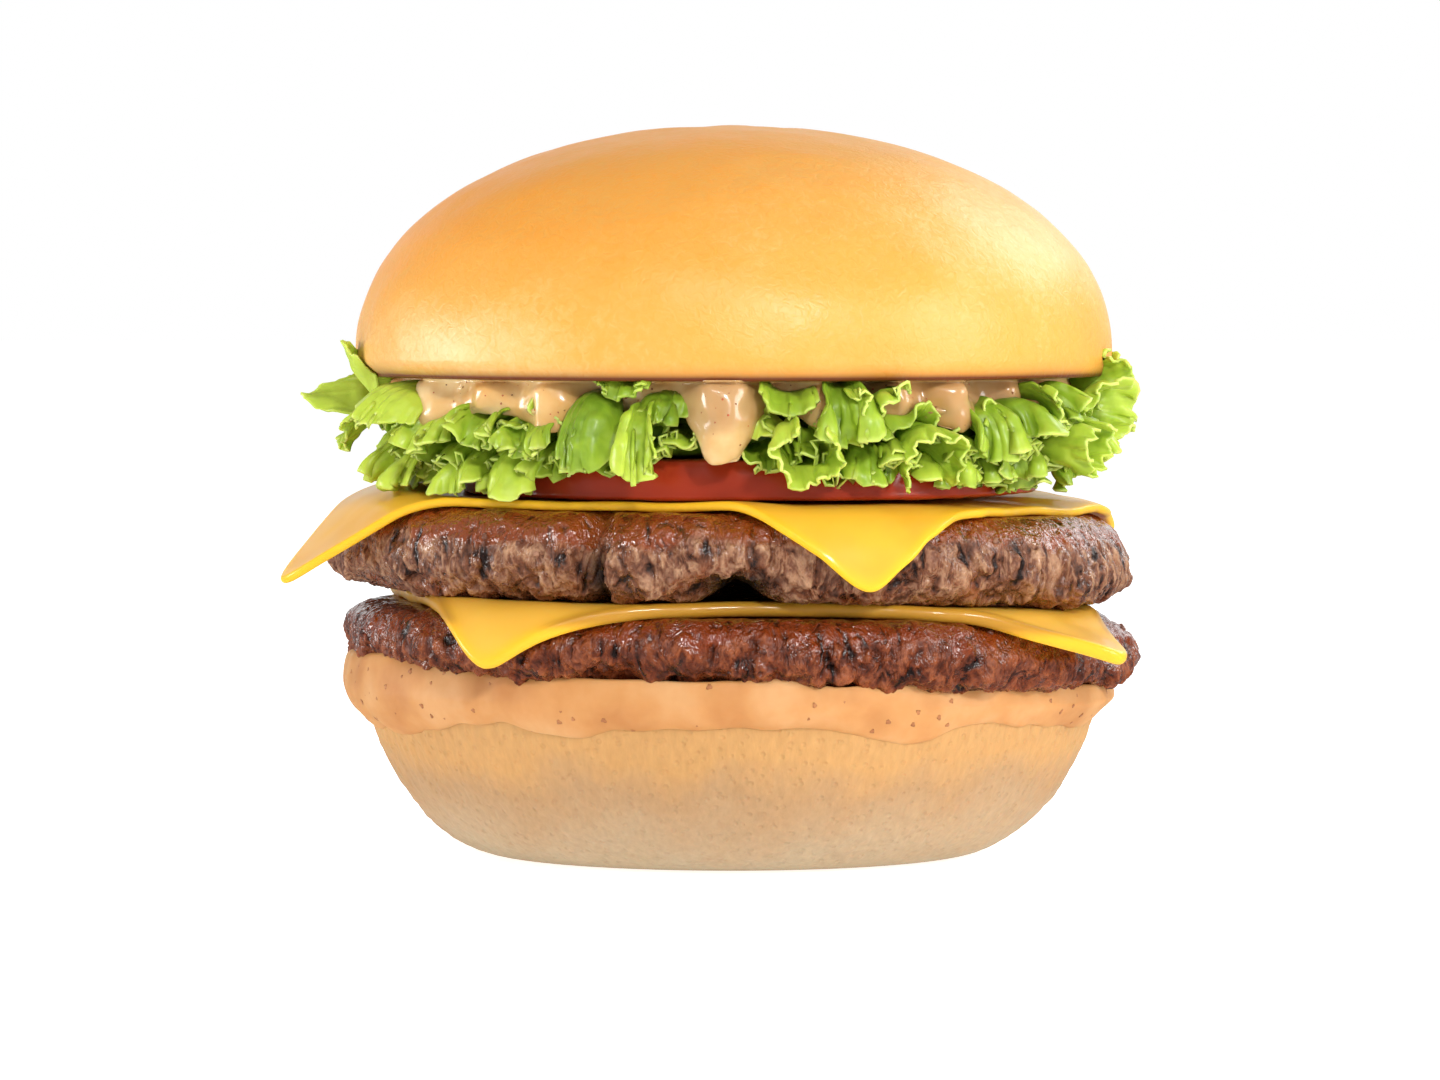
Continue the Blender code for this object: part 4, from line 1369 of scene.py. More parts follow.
@dataclass(frozen=True)
class Slice:
    """A square slice softened by heat, draped over the shoulder of the patty beneath it."""

    node: str
    patty: Patty
    thickness: float
    heading: float
    """Direction of the first corner. The others follow counterclockwise."""
    centre: tuple
    steepest: tuple
    """How steeply each corner hangs, in degrees."""
    pulls: tuple
    """How far each corner has stretched."""
    finish: MeltedCheese
    seed: int
    edge_shade_strength: float = 0.65
    # How strongly shade is painted on its edge, where something lies on it.
    """How amber its edge is where it is pressed."""
    notches: tuple = ()
    """Bearing in degrees, width and depth of each stretch where the edge is drawn in."""
    puff: float = 0.0
    """How far it stands up on the left, where nothing presses it down."""
    side: float = 0.0890
    columns: int = 560

    def edge(self, bearing: Array) -> Array:
        """Distance from the slice's middle to its edge, at a bearing from the first corner."""
        power = 24
        square = bearing + math.pi / 4
        total = np.abs(np.cos(square)) ** power + np.abs(np.sin(square)) ** power
        distance = self.side / 2 / total ** (1 / power)
        for corner, pull in enumerate(self.pulls):
            distance = distance + pull * swell(bearing, corner * math.pi / 2, 0.20)
        for degrees, width, depth in self.notches:
            distance = distance - depth * swell(bearing, math.radians(degrees), width)
        return distance

    def steepness(self, angle: Array) -> Array:
        """How steeply the slice may hang in a direction, eased from each corner to the next."""
        limit = 0 * angle
        for corner, steepest in enumerate(self.steepest):
            towards = np.maximum(0.0, np.cos(angle - self.heading - corner * math.pi / 2))
            limit = limit + towards * towards * math.radians(steepest)
        return limit

    def drape(self, flat: Array) -> Array:
        """Where points of the flat slice lie once it hangs over the patty.

        Args:
            flat: places on the flat slice, x and y along the last axis.

        Returns:
            The places in space.
        """
        floor, ceiling = level(self.node)
        angle = np.arctan2(flat[..., 1], flat[..., 0])
        along = np.hypot(flat[..., 0], flat[..., 1])
        start = self.patty.radius(angle) - self.patty.shoulder(angle) + DRAPE_ROOM
        bend = self.patty.shoulder(angle) + (ceiling - floor) / 2 + GAP + DRAPE_ROOM
        past = np.maximum(0.0, along - start)
        turn = np.minimum(past / bend, self.steepness(angle))
        straight = past - turn * bend
        reach = np.minimum(along, start) + bend * np.sin(turn) + straight * np.cos(turn)
        drop = bend * (1 - np.cos(turn)) + straight * np.sin(turn)
        x, y = reach * np.cos(angle), reach * np.sin(angle)
        puffed = self.puff * np.exp(-(((x + 0.0450) / 0.0050) ** 2)) * (1 - ease(np.abs(y), 0.010, 0.030))
        return np.stack([x, y, floor - 0.0003 + self.thickness / 2 - drop - sag(x, y) + puffed], axis=-1)

    def build(self) -> None:
        """Makes the slice: its two faces and the round bead of its edge."""
        even = even_angles(self.columns)
        bearings = even - 0.19 * np.sin(4 * even)
        pointing = np.stack([np.cos(self.heading + bearings), np.sin(self.heading + bearings)], axis=-1)
        uneven = 0.0005 * wander(bearings * 0.045, 0.006, self.seed) + 0.0002 * wander(
            bearings * 0.045, 0.002, self.seed + 1
        )
        reach = self.edge(bearings) + uneven * np.abs(np.sin(bearings / 2)) ** 0.3
        share = np.concatenate([np.linspace(0.04, 0.58, 5), np.linspace(0.60, 1.0, 34)])
        flat = np.array(self.centre) + pointing[:, None, :] * (reach[:, None] * share)[..., None]
        middle = self.drape(flat)
        up = -facing(middle, True)
        loose = ease(share, 0.6, 1.0)[None, :]
        waves = 0.00034 * clouds(middle, 0.0095, self.seed + 2)
        middle = middle + up * (waves * loose + 0.00015 * loose)[..., None]
        up = -facing(middle, True)
        outward = middle[:, -1] - middle[:, -2]
        outward /= np.linalg.norm(outward, axis=-1, keepdims=True)
        from_edge = (1 - share)[None, :] * reach[:, None]
        half = self.thickness / 2 * (1 + 0.10 * np.exp(-((from_edge / 0.0012) ** 2)))
        under = middle - up * half[..., None]
        over = middle + up * half[..., None]
        round_edge = np.radians(np.linspace(-72, 72, 9))
        bead = (
            middle[:, -1:, :]
            + outward[:, None, :] * (half[:, -1:, None] * np.cos(round_edge)[None, :, None])
            + up[:, -1:, :] * (half[:, -1:, None] * np.sin(round_edge)[None, :, None])
        )
        grid = np.concatenate([under, bead, over[:, ::-1]], axis=1)
        rim = np.exp(-((from_edge / 0.0010) ** 2))
        rim = np.concatenate([rim, np.ones((self.columns, 9)), rim[:, ::-1]], axis=1)
        floor, ceiling = level(self.node)
        # Painted shade along the edge where it lies level, under what lies on it
        pressed = rim * ease(grid[..., 2] + sag(grid[..., 0], grid[..., 1]), floor - 0.0022, floor - 0.0004)
        grid[..., 0] += FILLING_SHIFT
        poles = ((FILLING_SHIFT, 0, floor), (FILLING_SHIFT, 0, ceiling))
        piece = skin(self.node + "_slice", grid, poles=poles, rim=rim, pressed=self.edge_shade_strength * pressed)
        piece.data.materials.append(self.finish.material())
        hand_over(piece, self.node, self.node)


LOWER_CHEESE = Slice(
    node="lower_cheese",
    patty=LOWER_PATTY,
    thickness=0.0018,
    heading=math.radians(-125),
    centre=(0.0, -0.0010),
    steepest=(82, 24, 60, 60),
    pulls=(-0.0008, 0.0010, -0.0020, -0.0045),
    finish=MeltedCheese("cheese_cheddar_set", "#DEA434", "#E8B242", "#F0B428"),
    seed=71,
    edge_shade_strength=0.95,
)
UPPER_CHEESE = Slice(
    node="upper_cheese",
    patty=UPPER_PATTY,
    thickness=0.0011,
    heading=math.radians(-161.5),
    centre=(-0.0006, -0.0016),
    steepest=(40, 78, 46, 70),
    pulls=(0.0056, 0.0006, -0.0050, -0.0030),
    finish=MeltedCheese("cheese_cheddar_melted", "#E2A22C", "#ECB032", "#F2B624"),
    seed=75,
    edge_shade_strength=0.15,
    notches=((69, 0.17, 0.0030),),
    puff=0.0015,
)


# The tomato and the lettuce


@dataclass(frozen=True)
class Tomato:
    """One thick round slice of beef tomato, a little towards the front."""

    radius: float = 0.0390
    middle: tuple = (FILLING_SHIFT + 0.0010, -0.0070)
    cut_edge: float = 0.0007
    sunk: float = 0.0010
    """How far it has settled into the soft cheese."""
    columns: int = 420
    finish: CutTomato = field(default_factory=CutTomato)

    def build(self) -> None:
        """Makes the slice, with skin at its rim and cut flesh on both faces."""
        floor, ceiling = level("tomato_slice")
        floor, ceiling = floor - self.sunk, ceiling + self.sunk / 2
        angles = even_angles(self.columns)
        turn = angles[:, None]
        around = self.radius * (1 + ripple(turn, ((5, 0.0006, 0.7), (7, 0.0003, 2.0))) / self.radius)
        low = np.radians(np.linspace(-90, 0, 7))
        high = np.radians(np.linspace(0, 90, 7))
        face = np.linspace(0.05, 0.97, 26)
        inset = 0.0006 * np.linspace(0.1, 0.9, 12)
        rise = np.linspace(0.05, 0.95, 12)
        radius = np.concatenate(
            [
                face * (around - self.cut_edge),
                around - self.cut_edge * (1 - np.cos(low)),
                around - inset + 0.0002 * np.sin(rise * math.pi),
                around - 0.0006 - self.cut_edge * (1 - np.cos(high)),
                face[::-1] * (around - 0.0006 - self.cut_edge),
            ],
            axis=1,
        )
        height = np.concatenate(
            [
                np.full(26, floor),
                floor + self.cut_edge * (1 + np.sin(low)),
                between(floor + self.cut_edge, ceiling - self.cut_edge, rise),
                ceiling - self.cut_edge * (1 - np.sin(high)),
                np.full(26, ceiling),
            ]
        ) + 0 * turn
        grid = spun(radius, height, angles)
        share = radius / around
        up = ease(height, ceiling - 0.0004, ceiling) - ease(-height, -floor - 0.0004, -floor)
        grid[..., 2] += up * (0.00012 * clouds(grid, 0.0022, 81) - 0.0001) * ease(share, 0.1, 0.3)
        skinned = ease(share, 0.965, 0.985)
        grid[..., :2] += np.array(self.middle)
        poles = ((*self.middle, floor), (*self.middle, ceiling))
        piece = skin("tomato", grid, poles=poles, skin=skinned)
        piece.data.materials.append(self.finish.material())
        hand_over(piece, "tomato_slice", "tomato_slice")


def ruffled(grid: Array, along: Array, share: Array, folds: tuple, seed: int) -> tuple[Array, Array]:
    """A leaf with its ruffles, each set raised square to the surface that the coarser set left.

    A steep ruffle leans over itself, as a margin does that is much longer than its root.

    Args:
        grid: the smooth leaf in mm, by column and row.
        along: how far each column lies along the margin, in mm.
        share: how far out each row lies, from 0 at the root to 1 at the margin.
        folds: wavelength and height in mm, and the share where it begins, of each set.
        seed: chooses the pattern.

    Returns:
        The new grid, and how high each point stands on its folds, from the hollows to the crests, about -1 to 1.
    """
    t = share[None, :]
    crest = np.zeros(grid.shape[:2])
    for order, (length, size, begins) in enumerate(folds):
        normal = -facing(grid, False)
        across = np.gradient(grid, axis=0)
        across /= np.maximum(np.linalg.norm(across, axis=-1, keepdims=True), 1e-9)
        phase = TAU * along / length + 1.9 * wander(along, 1.6 * length, seed + 7 * order + 4)
        bent = clouds(grid, 0.9 * length, seed + 7 * order + 6)
        phase = phase[:, None] + 1.5 * bent + 1.4 * t * (1 if order % 2 else -1)
        wave = np.sin(phase)
        swing = size * (0.80 + 0.50 * wander(along, 2.1 * length, seed + 7 * order + 5))
        onset = np.clip(begins + 0.16 * bent, 0.0, 0.85)
        height = np.clip((t - onset) / (1 - onset), 0, 1) ** 1.15 * swing[:, None]
        lean = 0.115 * np.clip(np.abs(height) * TAU / length, 0, 4.5) ** 1.65 * length / TAU
        grid = grid + normal * (wave * height)[..., None] - across * (lean * np.sin(2 * phase))[..., None]
        # This height is later painted as light on the crests and shade in the hollows
        crest = crest + wave * height / size * (0.5, 0.35, 0.25, 0.1)[order]
    crinkle = 0.26 * clouds(grid, 1.9, seed + 40) + 0.12 * clouds(grid, 0.9, seed + 41)
    grid = grid - facing(grid, False) * (crinkle * ease(t, 0.1, 0.5))[..., None]
    return grid, crest + 1.2 * crinkle


def toothed(along: Array, pitch: float, seed: int) -> Array:
    """How far the pointed teeth of a leaf's margin stand out, from 0 to 1."""
    phase = math.pi * along / pitch + 2.2 * wander(along, 1.7 * pitch, seed)
    small = 1 - np.abs(np.sin(2.7 * phase))
    return (1 - np.abs(np.sin(phase))) * (0.65 + 0.5 * wander(along, 2.6 * pitch, seed + 1)) + 0.25 * small


def leaf_piece(
    name: str, grid: Array, share: Array, tone: Array, thickness: float, finish: bpy.types.Material
) -> bpy.types.Object:
    """A leaf's object, given its thickness.

    Args:
        name: the piece's name.
        grid: the leaf in mm, by column and row.
        share: how far out each row lies, from 0 at the root to 1 at the margin.
        tone: how light each point is, from 0 to 1, with painted light on the folds' crests and painted shade in their
            hollows.
        thickness: the leaf's thickness in mm.
        finish: the leaf's material.

    Returns:
        The piece.
    """
    grid = grid * MM
    grid[..., 0] += FILLING_SHIFT
    rim = ease(share[None, :] + 0 * tone, 0.955, 1.0) * (0.45 + 0.45 * clouds(grid, 0.0035, 95))
    piece = skin(name, grid, wrap=False, rim=rim, crest=tone)
    piece.data.materials.append(finish)
    wall = piece.modifiers.new("leaf_thickness", "SOLIDIFY")
    wall.thickness = thickness * MM
    wall.offset = 0
    settle(piece)
    return piece


def joined(name: str, pieces: list) -> bpy.types.Object:
    """One piece made of several."""
    with bpy.context.temp_override(active_object=pieces[0], selected_editable_objects=pieces):
        bpy.ops.object.join()
    pieces[0].name = pieces[0].data.name = name
    return pieces[0]


@dataclass(frozen=True)
class Frill:
    """A stretch of the leaf's ruffled margin, which stands out between the tomato and the crown."""

    name: str
    span: tuple
    """Directions of its two ends, in degrees."""
    root: tuple
    """Radius and height where it leaves the pack, in mm."""
    margin: tuple
    """Radius and height of its edge before it is ruffled, in mm."""
    arch: float
    """How far it rises between the two, in mm."""
    folds: tuple
    """Wavelength and height in mm, and the share of the way out where it begins, of each ruffle."""
    seed: int
    lift: float = 0.0
    """How much higher its edge lies beside the drip of sauce, in mm."""
    thickness: float = 0.36
    step: float = 0.22
    """Distance between columns, in mm."""
    rows: int = 38

    def build(self, finish: bpy.types.Material) -> bpy.types.Object:
        """Makes the frill.

        Args:
            finish: the leaf's material.

        Returns:
            The piece.
        """
        start, end = (math.radians(limit) for limit in self.span)
        columns = int((end - start) * 52 / self.step)
        angles = np.linspace(start, end, columns)
        along = angles * 52
        share = np.linspace(0.0, 1.0, self.rows) ** 0.85
        out = self.margin[0] + 1.3 * wander(along, 9.0, self.seed) + 0.6 * wander(along, 2.3, self.seed + 1)
        out = out + 1.1 * toothed(along, 2.1, self.seed + 8)
        up = self.margin[1] + 0.9 * wander(along, 11.0, self.seed + 2) + 0.5 * wander(along, 2.6, self.seed + 3)
        up = up + self.lift * swell(angles, DRIP_ANGLE, 0.16)
        ends = ease(angles, start, start + 0.08) * (1 - ease(angles, end - 0.08, end))
        out = between(between(self.root[0], out, 0.45), out, ends)
        knee_out = between(self.root[0], out, 0.72)
        knee_up = np.maximum(self.root[1], up) + self.arch
        t = share[None, :]
        radius = self.root[0] * (1 - t) ** 2 + 2 * knee_out[:, None] * t * (1 - t) + out[:, None] * t**2
        height = self.root[1] * (1 - t) ** 2 + 2 * knee_up[:, None] * t * (1 - t) + up[:, None] * t**2
        grid = spun(radius, height, angles)
        grid, crest = ruffled(grid, along, share, self.folds, self.seed)
        return leaf_piece(self.name, grid, share, 0.04 + 0.42 * t + 0.20 * crest, self.thickness, finish)


@dataclass(frozen=True)
class Lobe:
    """One lobe of the leaf's margin, which curls out of the stack on its own."""

    across: float
    """How far to the right of the stack's axis its middle lies, in mm. Negative is to the left."""
    root: tuple
    """Radius and height where it leaves the pack, in mm."""
    tilt: tuple
    """Slope at its root and at its margin, in degrees. 0 is straight out, -90 straight down."""
    length: float
    width: float
    cup: float = 40
    """How far its sides bend round, in degrees. Negative bends them towards its underside."""
    turn: float = 0
    """How far it is turned about its own root in the direction of the clock's hands, in degrees."""
    folds: tuple = ((9.0, 1.8, 0.20), (3.6, 0.9, 0.45))
    """Wavelength and height in mm, and the share where it begins, of each set of ruffles."""
    tone: float = 0.0
    """How much lighter than the rest it is."""
    point: float = 0.34
    """How much shorter it is at its sides than in the middle."""
    back: bool = False
    seed: int = 0

    def build(self, finish: bpy.types.Material) -> bpy.types.Object:
        """Makes the lobe.

        Args:
            finish: the leaf's material.

        Returns:
            The piece.
        """
        seed = self.seed or int(abs(self.across) * 31 + self.root[1] * 17 + self.length * 7)
        columns = max(28, int(self.width * 2 / 0.23))
        rows = max(22, int(self.length / 0.30))
        place = np.linspace(-1, 1, columns)
        share = np.linspace(0, 1, rows)
        along = place * self.width
        a, t = place[:, None], share[None, :]
        teeth = 1.4 * toothed(along, 2.3, seed) + 0.9 * wander(along, 4.0, seed + 1)
        reach = (self.length * (1 - self.point * np.abs(place) ** 1.8) + teeth)[:, None]
        slope = np.radians(between(self.tilt[0], self.tilt[1], share))[None, :]
        step = np.diff(share, prepend=0.0)[None, :]
        outward = np.cumsum(np.cos(slope) * step, axis=1) * reach
        upward = np.cumsum(np.sin(slope) * step, axis=1) * reach
        half = self.width * (0.35 + 0.65 * np.sin(t * math.pi / 2) ** 0.8) / 1.0
        bend = math.radians(self.cup) or 1e-3
        sideways = half * np.sin(bend * a) / bend
        rise = half * (1 - np.cos(bend * a)) / bend
        outward = outward - np.sin(slope) * rise
        upward = upward + np.cos(slope) * rise
        roll = math.radians(self.turn)
        side, high = (
            sideways * math.cos(roll) + upward * math.sin(roll),
            upward * math.cos(roll) - sideways * math.sin(roll),
        )
        angle = FRONT + math.asin(max(-1.0, min(1.0, self.across / (self.root[0] + 5))))
        if self.back:
            angle = -angle
        radial = np.array([math.cos(angle), math.sin(angle), 0.0])
        sidewise = np.array([-math.sin(angle), math.cos(angle), 0.0])
        far = (self.root[0] + outward)[..., None] * radial
        grid = far + side[..., None] * sidewise + (self.root[1] + high)[..., None] * np.array([0, 0, 1.0])
        grid, crest = ruffled(grid, along, share, self.folds, seed)
        tone = 0.08 + self.tone + 0.36 * t + 0.20 * crest
        return leaf_piece("lobe", grid, share, tone, 0.38, finish)


SMOOTH = ((11.0, 1.1, 0.15), (3.4, 0.40, 0.72))
FRILLY = ((7.6, 2.3, 0.10), (3.0, 0.95, 0.60))
WAVY = ((9.5, 2.0, 0.15), (3.4, 0.80, 0.66))
RING = ((7.0, 0.8, 0.3), (2.6, 0.5, 0.6))

LEFT_LOBES = (
    Lobe(-52.0, (45, 62.5), (8, -6), 14.5, 3.6, 20, 62, SMOOTH, 0.62, 0.55, seed=301),
    Lobe(-53.0, (49, 62.0), (35, 82), 9.5, 4.0, 30, 20, SMOOTH, 0.50, 0.60, seed=302),
    Lobe(-45.0, (46, 64.5), (10, -60), 12.0, 6.4, -25, 14, SMOOTH, 0.60, seed=303),
    Lobe(-49.5, (45, 60.0), (10, -50), 10.5, 5.6, 30, -14, WAVY, 0.34, seed=311),
    Lobe(-44.0, (44, 57.0), (0, -82), 11.0, 5.8, 40, 18, FRILLY, 0.30, seed=304),
    Lobe(-40.5, (45, 60.0), (15, -70), 9.5, 5.4, 50, 0, FRILLY, 0.24, seed=305),
    Lobe(-41.5, (41, 57.0), (-5, -60), 8.5, 6.2, -30, 0, WAVY, 0.20, seed=312),
    Lobe(-39.0, (42, 54.8), (-5, -72), 6.0, 5.2, 40, 0, FRILLY, 0.24, seed=313),
    Lobe(-44.5, (42, 55.0), (-5, -60), 6.0, 4.8, -40, 10, FRILLY, 0.28, seed=314),
    Lobe(-37.0, (44, 56.5), (0, -80), 10.5, 5.4, -45, -8, FRILLY, 0.28, seed=306),
    Lobe(-33.5, (45, 60.0), (20, -60), 8.5, 5.0, 55, 6, FRILLY, 0.10, seed=307),
    Lobe(-31.0, (43, 57.0), (0, -88), 10.5, 5.2, -50, 10, FRILLY, 0.24, seed=308),
    Lobe(-27.5, (45, 60.0), (10, -85), 8.5, 4.6, 50, -6, FRILLY, 0.10, seed=309),
    Lobe(-25.0, (43, 57.5), (0, -80), 8.0, 4.2, -45, 0, FRILLY, 0.16, seed=310),
)
FRONT_LOBES = (
    Lobe(-18.8, (44, 64.0), (8, -100), 16.5, 5.2, -40, 4, SMOOTH, -0.06, 0.40, seed=321),
    Lobe(-12.6, (46, 61.5), (10, -100), 15.0, 3.2, 95, -8, WAVY, 0.24, 0.40, seed=322),
    Lobe(-14.5, (44, 65.0), (25, -50), 8.0, 4.6, 60, 14, WAVY, -0.02, seed=323),
    Lobe(-9.0, (43, 64.5), (15, -70), 9.0, 4.4, -55, 0, WAVY, -0.04, seed=324),
    Lobe(2.8, (44, 62.0), (10, -60), 8.0, 3.4, -50, 20, FRILLY, 0.40, seed=325),
    Lobe(8.0, (43, 54.8), (0, -32), 9.5, 11.5, 155, 8, RING, 0.50, 0.10, seed=326),
    Lobe(6.5, (44, 63.5), (20, -50), 8.5, 4.6, 50, 10, SMOOTH, 0.10, seed=331),
    Lobe(13.6, (44, 64.8), (10, -95), 14.0, 4.0, 75, 4, WAVY, 0.0, seed=327),
    Lobe(18.0, (45, 62.0), (24, -20), 9.0, 5.0, 45, -10, FRILLY, 0.16, seed=328),
    Lobe(18.5, (43, 58.0), (0, -85), 10.0, 4.2, -40, 0, WAVY, -0.04, seed=330),
    Lobe(24.4, (44, 59.5), (8, -24), 9.5, 10.5, -138, -6, RING, 0.16, 0.10, seed=329),
)
RIGHT_LOBES = (
    Lobe(28.0, (43, 57.5), (0, -88), 9.0, 4.8, -50, 0, FRILLY, 0.14, seed=341),
    Lobe(31.0, (43, 54.8), (0, -80), 5.6, 5.6, 40, 0, WAVY, -0.04, seed=351),
    Lobe(38.5, (42, 54.6), (-5, -75), 6.0, 5.6, -40, 0, FRILLY, -0.02, seed=352),
    Lobe(45.0, (42, 54.6), (-5, -65), 6.5, 5.0, 40, -10, WAVY, 0.04, seed=353),
    Lobe(32.6, (44, 62.0), (5, -95), 12.0, 4.2, 60, 0, WAVY, 0.04, seed=342),
    Lobe(37.5, (45, 62.5), (15, -70), 10.0, 5.4, -50, 0, FRILLY, 0.0, seed=343),
    Lobe(36.5, (43, 57.5), (0, -90), 9.0, 5.0, 50, 0, WAVY, 0.0, seed=349),
    Lobe(44.0, (45, 54.0), (5, -16), 9.0, 9.5, 160, -14, RING, 0.24, 0.10, seed=344),
    Lobe(41.0, (45, 62.5), (20, -50), 9.5, 5.2, 50, 0, WAVY, 0.06, seed=350),
    Lobe(47.0, (45, 60.5), (8, -70), 10.5, 5.4, -50, 0, FRILLY, 0.22, seed=345),
    Lobe(49.5, (46, 62.5), (32, 10), 8.5, 5.4, 40, -40, FRILLY, 0.30, 0.50, seed=346),
    Lobe(51.0, (46, 63.0), (30, 70), 8.0, 4.6, 35, -50, WAVY, 0.32, 0.60, seed=347),
    Lobe(51.5, (45, 60.5), (10, -25), 10.5, 5.4, 30, -65, FRILLY, 0.28, 0.50, seed=348),
)
BACK_LOBES = tuple(
    Lobe(
        across, (43.5, 61.0 - 1.6 * (place % 3)), (4, -70 - 9 * (place % 3)), 9.5, 4.8, 50 if place % 2 else -50, 0,
        FRILLY if place % 4 else WAVY, 0.14, back=True, seed=401 + 9 * place,
    )
    for place, across in enumerate(np.linspace(-45, 45, 19))
)


@dataclass(frozen=True)
class Lettuce:
    """Frilly green lettuce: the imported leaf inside, and the ruffles that stand out of the stack."""

    pack_radius: float = 0.0430
    finish: FreshLeaf = field(default_factory=FreshLeaf)
    frills: tuple = (
        Frill("lettuce_lower_front", (150, 392), (36, 57.5), (48.0, 54.2), 0.5,
              ((13.0, 2.4, 0.15), (6.2, 1.9, 0.30), (2.8, 0.65, 0.66)), 101, 2.2),
        Frill("lettuce_upper_front", (150, 392), (36, 59.5), (48.5, 59.6), 0.2,
              ((14.0, 2.2, 0.15), (6.8, 1.9, 0.30), (2.8, 0.65, 0.66)), 191),
        Frill("lettuce_lower_back", (388, 512), (38, 57.0), (50.0, 54.4), 0.5,
              ((13.0, 2.4, 0.15), (6.4, 1.9, 0.30), (2.8, 0.65, 0.66)), 161),
        Frill("lettuce_upper_back", (388, 512), (38, 59.5), (50.5, 59.6), 0.2,
              ((14.0, 2.2, 0.15), (6.8, 1.9, 0.30), (2.8, 0.65, 0.66)), 251),
    )

    def build_pack(self, finish: bpy.types.Material) -> None:
        """Makes the flat packed leaf between the tomato and the sauce.

        Args:
            finish: the leaf's material.
        """
        floor, ceiling = level("lettuce_leaf")
        angles = even_angles(240)
        turn = angles[:, None]
        around = np.radians(np.linspace(-90, 90, 15))
        half = (ceiling - floor) / 2
        edge = self.pack_radius + ripple(turn, ((5, 0.0008, 0.3), (13, 0.0005, 1.0)))
        face = np.linspace(0.05, 0.95, 12)
        radius = np.concatenate(
            [face * (edge - half), edge - half + half * np.cos(around), face[::-1] * (edge - half)], axis=1
        )
        height = np.concatenate([0 * face + floor, floor + half + half * np.sin(around), 0 * face + ceiling]) + 0 * turn
        grid = spun(radius, height, angles)
        outside = ease(radius, 0.034, 0.040)
        grid += facing(grid, True) * (outside * 0.0008 * (clouds(grid, 0.004, 91) - 0.6))[..., None]
        grid[..., 0] += FILLING_SHIFT
        poles = ((FILLING_SHIFT, 0, floor), (FILLING_SHIFT, 0, ceiling))
        piece = skin("lettuce_pack", grid, poles=poles, rim=0 * radius, crest=0 * radius + 0.05)
        piece.data.materials.append(finish)
        hand_over(piece, "lettuce_leaf", "lettuce_leaf")

    def build(self) -> None:
        """Makes the whole leaf."""
        finish = self.finish.material()
        self.build_pack(finish)
        for frill in self.frills:
            hand_over(frill.build(finish), "lettuce_leaf")
        sides = {"left": LEFT_LOBES, "front": FRONT_LOBES, "right": RIGHT_LOBES, "back": BACK_LOBES}
        for name, lobes in sides.items():
            hand_over(joined("lettuce_lobes_" + name, [lobe.build(finish) for lobe in lobes]), "lettuce_leaf")


# The studio


class Lamp(Enum):
    """The soft lights round the burger: place and aim in metres, width and height, power in watts."""

    FRONT = ((0.10, -1.30, 0.85), (0.0, 0.0, 0.045), (0.80, 0.60), 1.1)
    STRIP = ((-0.15, -0.90, 0.95), (0.0, 0.0, 0.045), (0.50, 0.07), 2.8)
    RIGHT_BACK = ((0.62, 0.52, 0.60), (0.0, 0.0, 0.06), (0.60, 0.50), 3.9)
    RIGHT_SIDE = ((0.95, -0.40, 0.35), (0.0, 0.0, 0.05), (0.45, 0.45), 5.0)
    LEFT_SIDE = ((-0.95, 0.02, 0.08), (0.0, 0.0, 0.04), (0.45, 0.30), 5.5)
    SPARK = ((0.32, -0.95, 0.55), (0.0, 0.0, 0.045), (0.10, 0.10), 5.5)
    BACK = ((0.0, 1.30, 0.36), (0.0, 0.0, 0.055), (1.50, 0.60), 1.8)


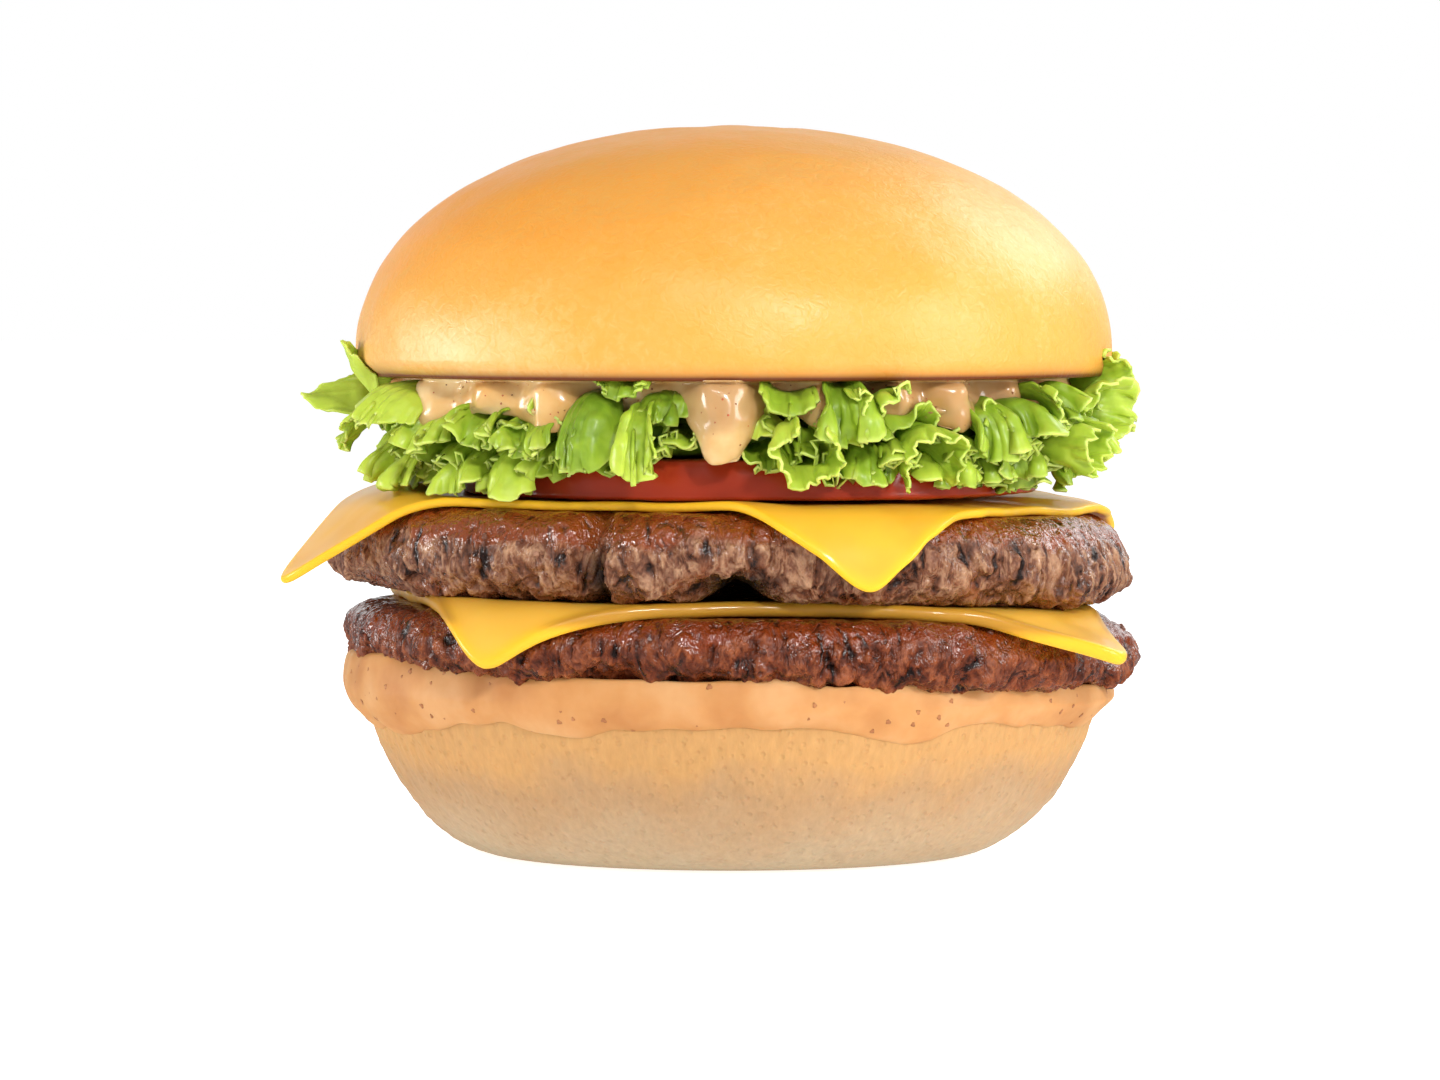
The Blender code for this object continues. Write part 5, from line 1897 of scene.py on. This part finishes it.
@dataclass(frozen=True)
class Studio:
    """Plain pale floor, soft light and the camera."""

    floor_radius: float = 6.0
    eye: tuple = (0.00085, -0.95, 0.0811)
    aim: tuple = (-0.00148, 0.0, 0.0427)
    lens: float = 173.35
    glow: float = 0.36
    """Brightness of the white room as the burger sees it."""

    def build(self) -> None:
        """Makes the floor, the room, the lights and the camera."""
        scene = bpy.context.scene
        scene.view_settings.view_transform = "Standard"
        angles = even_angles(96)
        radius = np.linspace(0.02, 1.0, 12) ** 2 * self.floor_radius + 0 * angles[:, None]
        grid = spun(radius, 0 * radius - 0.0002, angles)
        floor = skin("studio_floor", grid[:, ::-1][:, :], wrap=True)
        floor.data.materials.append(StudioFloor().material())
        floor.visible_glossy = False

        world = bpy.data.worlds.new("white_room")
        scene.world = world
        world.use_nodes = True
        tree = world.node_tree
        tree.nodes.clear()
        seen = add(tree, "ShaderNodeLightPath").outputs["Is Camera Ray"]
        bright = add(tree, "ShaderNodeMapRange", {0: seen, 3: self.glow, 4: 1.0}).outputs[0]
        light = add(tree, "ShaderNodeBackground", {"Color": "#FFFFFF", "Strength": bright}).outputs[0]
        add(tree, "ShaderNodeOutputWorld", {"Surface": light})

        for lamp in Lamp:
            place, aim, size, power = lamp.value
            light = bpy.data.lights.new("soft_" + lamp.name.lower(), "AREA")
            light.shape, light.size, light.size_y, light.energy = "RECTANGLE", *size, power
            holder = bpy.data.objects.new(light.name, light)
            holder.location = place
            holder.rotation_euler = (Vector(aim) - Vector(place)).to_track_quat("-Z", "Y").to_euler()
            holder.visible_camera = False
            scene.collection.objects.link(holder)

        lens = bpy.data.cameras.new("camera")
        lens.lens, lens.sensor_width, lens.clip_end = self.lens, 36.0, 100.0
        camera = bpy.data.objects.new("camera", lens)
        camera.location = self.eye
        camera.rotation_euler = (Vector(self.aim) - Vector(self.eye)).to_track_quat("-Z", "Y").to_euler()
        scene.collection.objects.link(camera)
        scene.camera = camera


def main() -> None:
    """Builds the studio and then the burger, from the heel up."""
    logging.basicConfig(level=logging.INFO, format="%(name)s: %(message)s")
    Studio().build()
    relief, scatter = minced_relief_tree(), scatter_tree()
    Heel().build()
    LowerSauce().build(scatter)
    LOWER_PATTY.build(relief, scatter)
    LOWER_CHEESE.build()
    UPPER_PATTY.build(relief, scatter)
    UPPER_CHEESE.build()
    Tomato().build()
    Lettuce().build()
    UpperSauce().build(scatter)
    Crown().build()


if __name__ == "__main__":
    main()
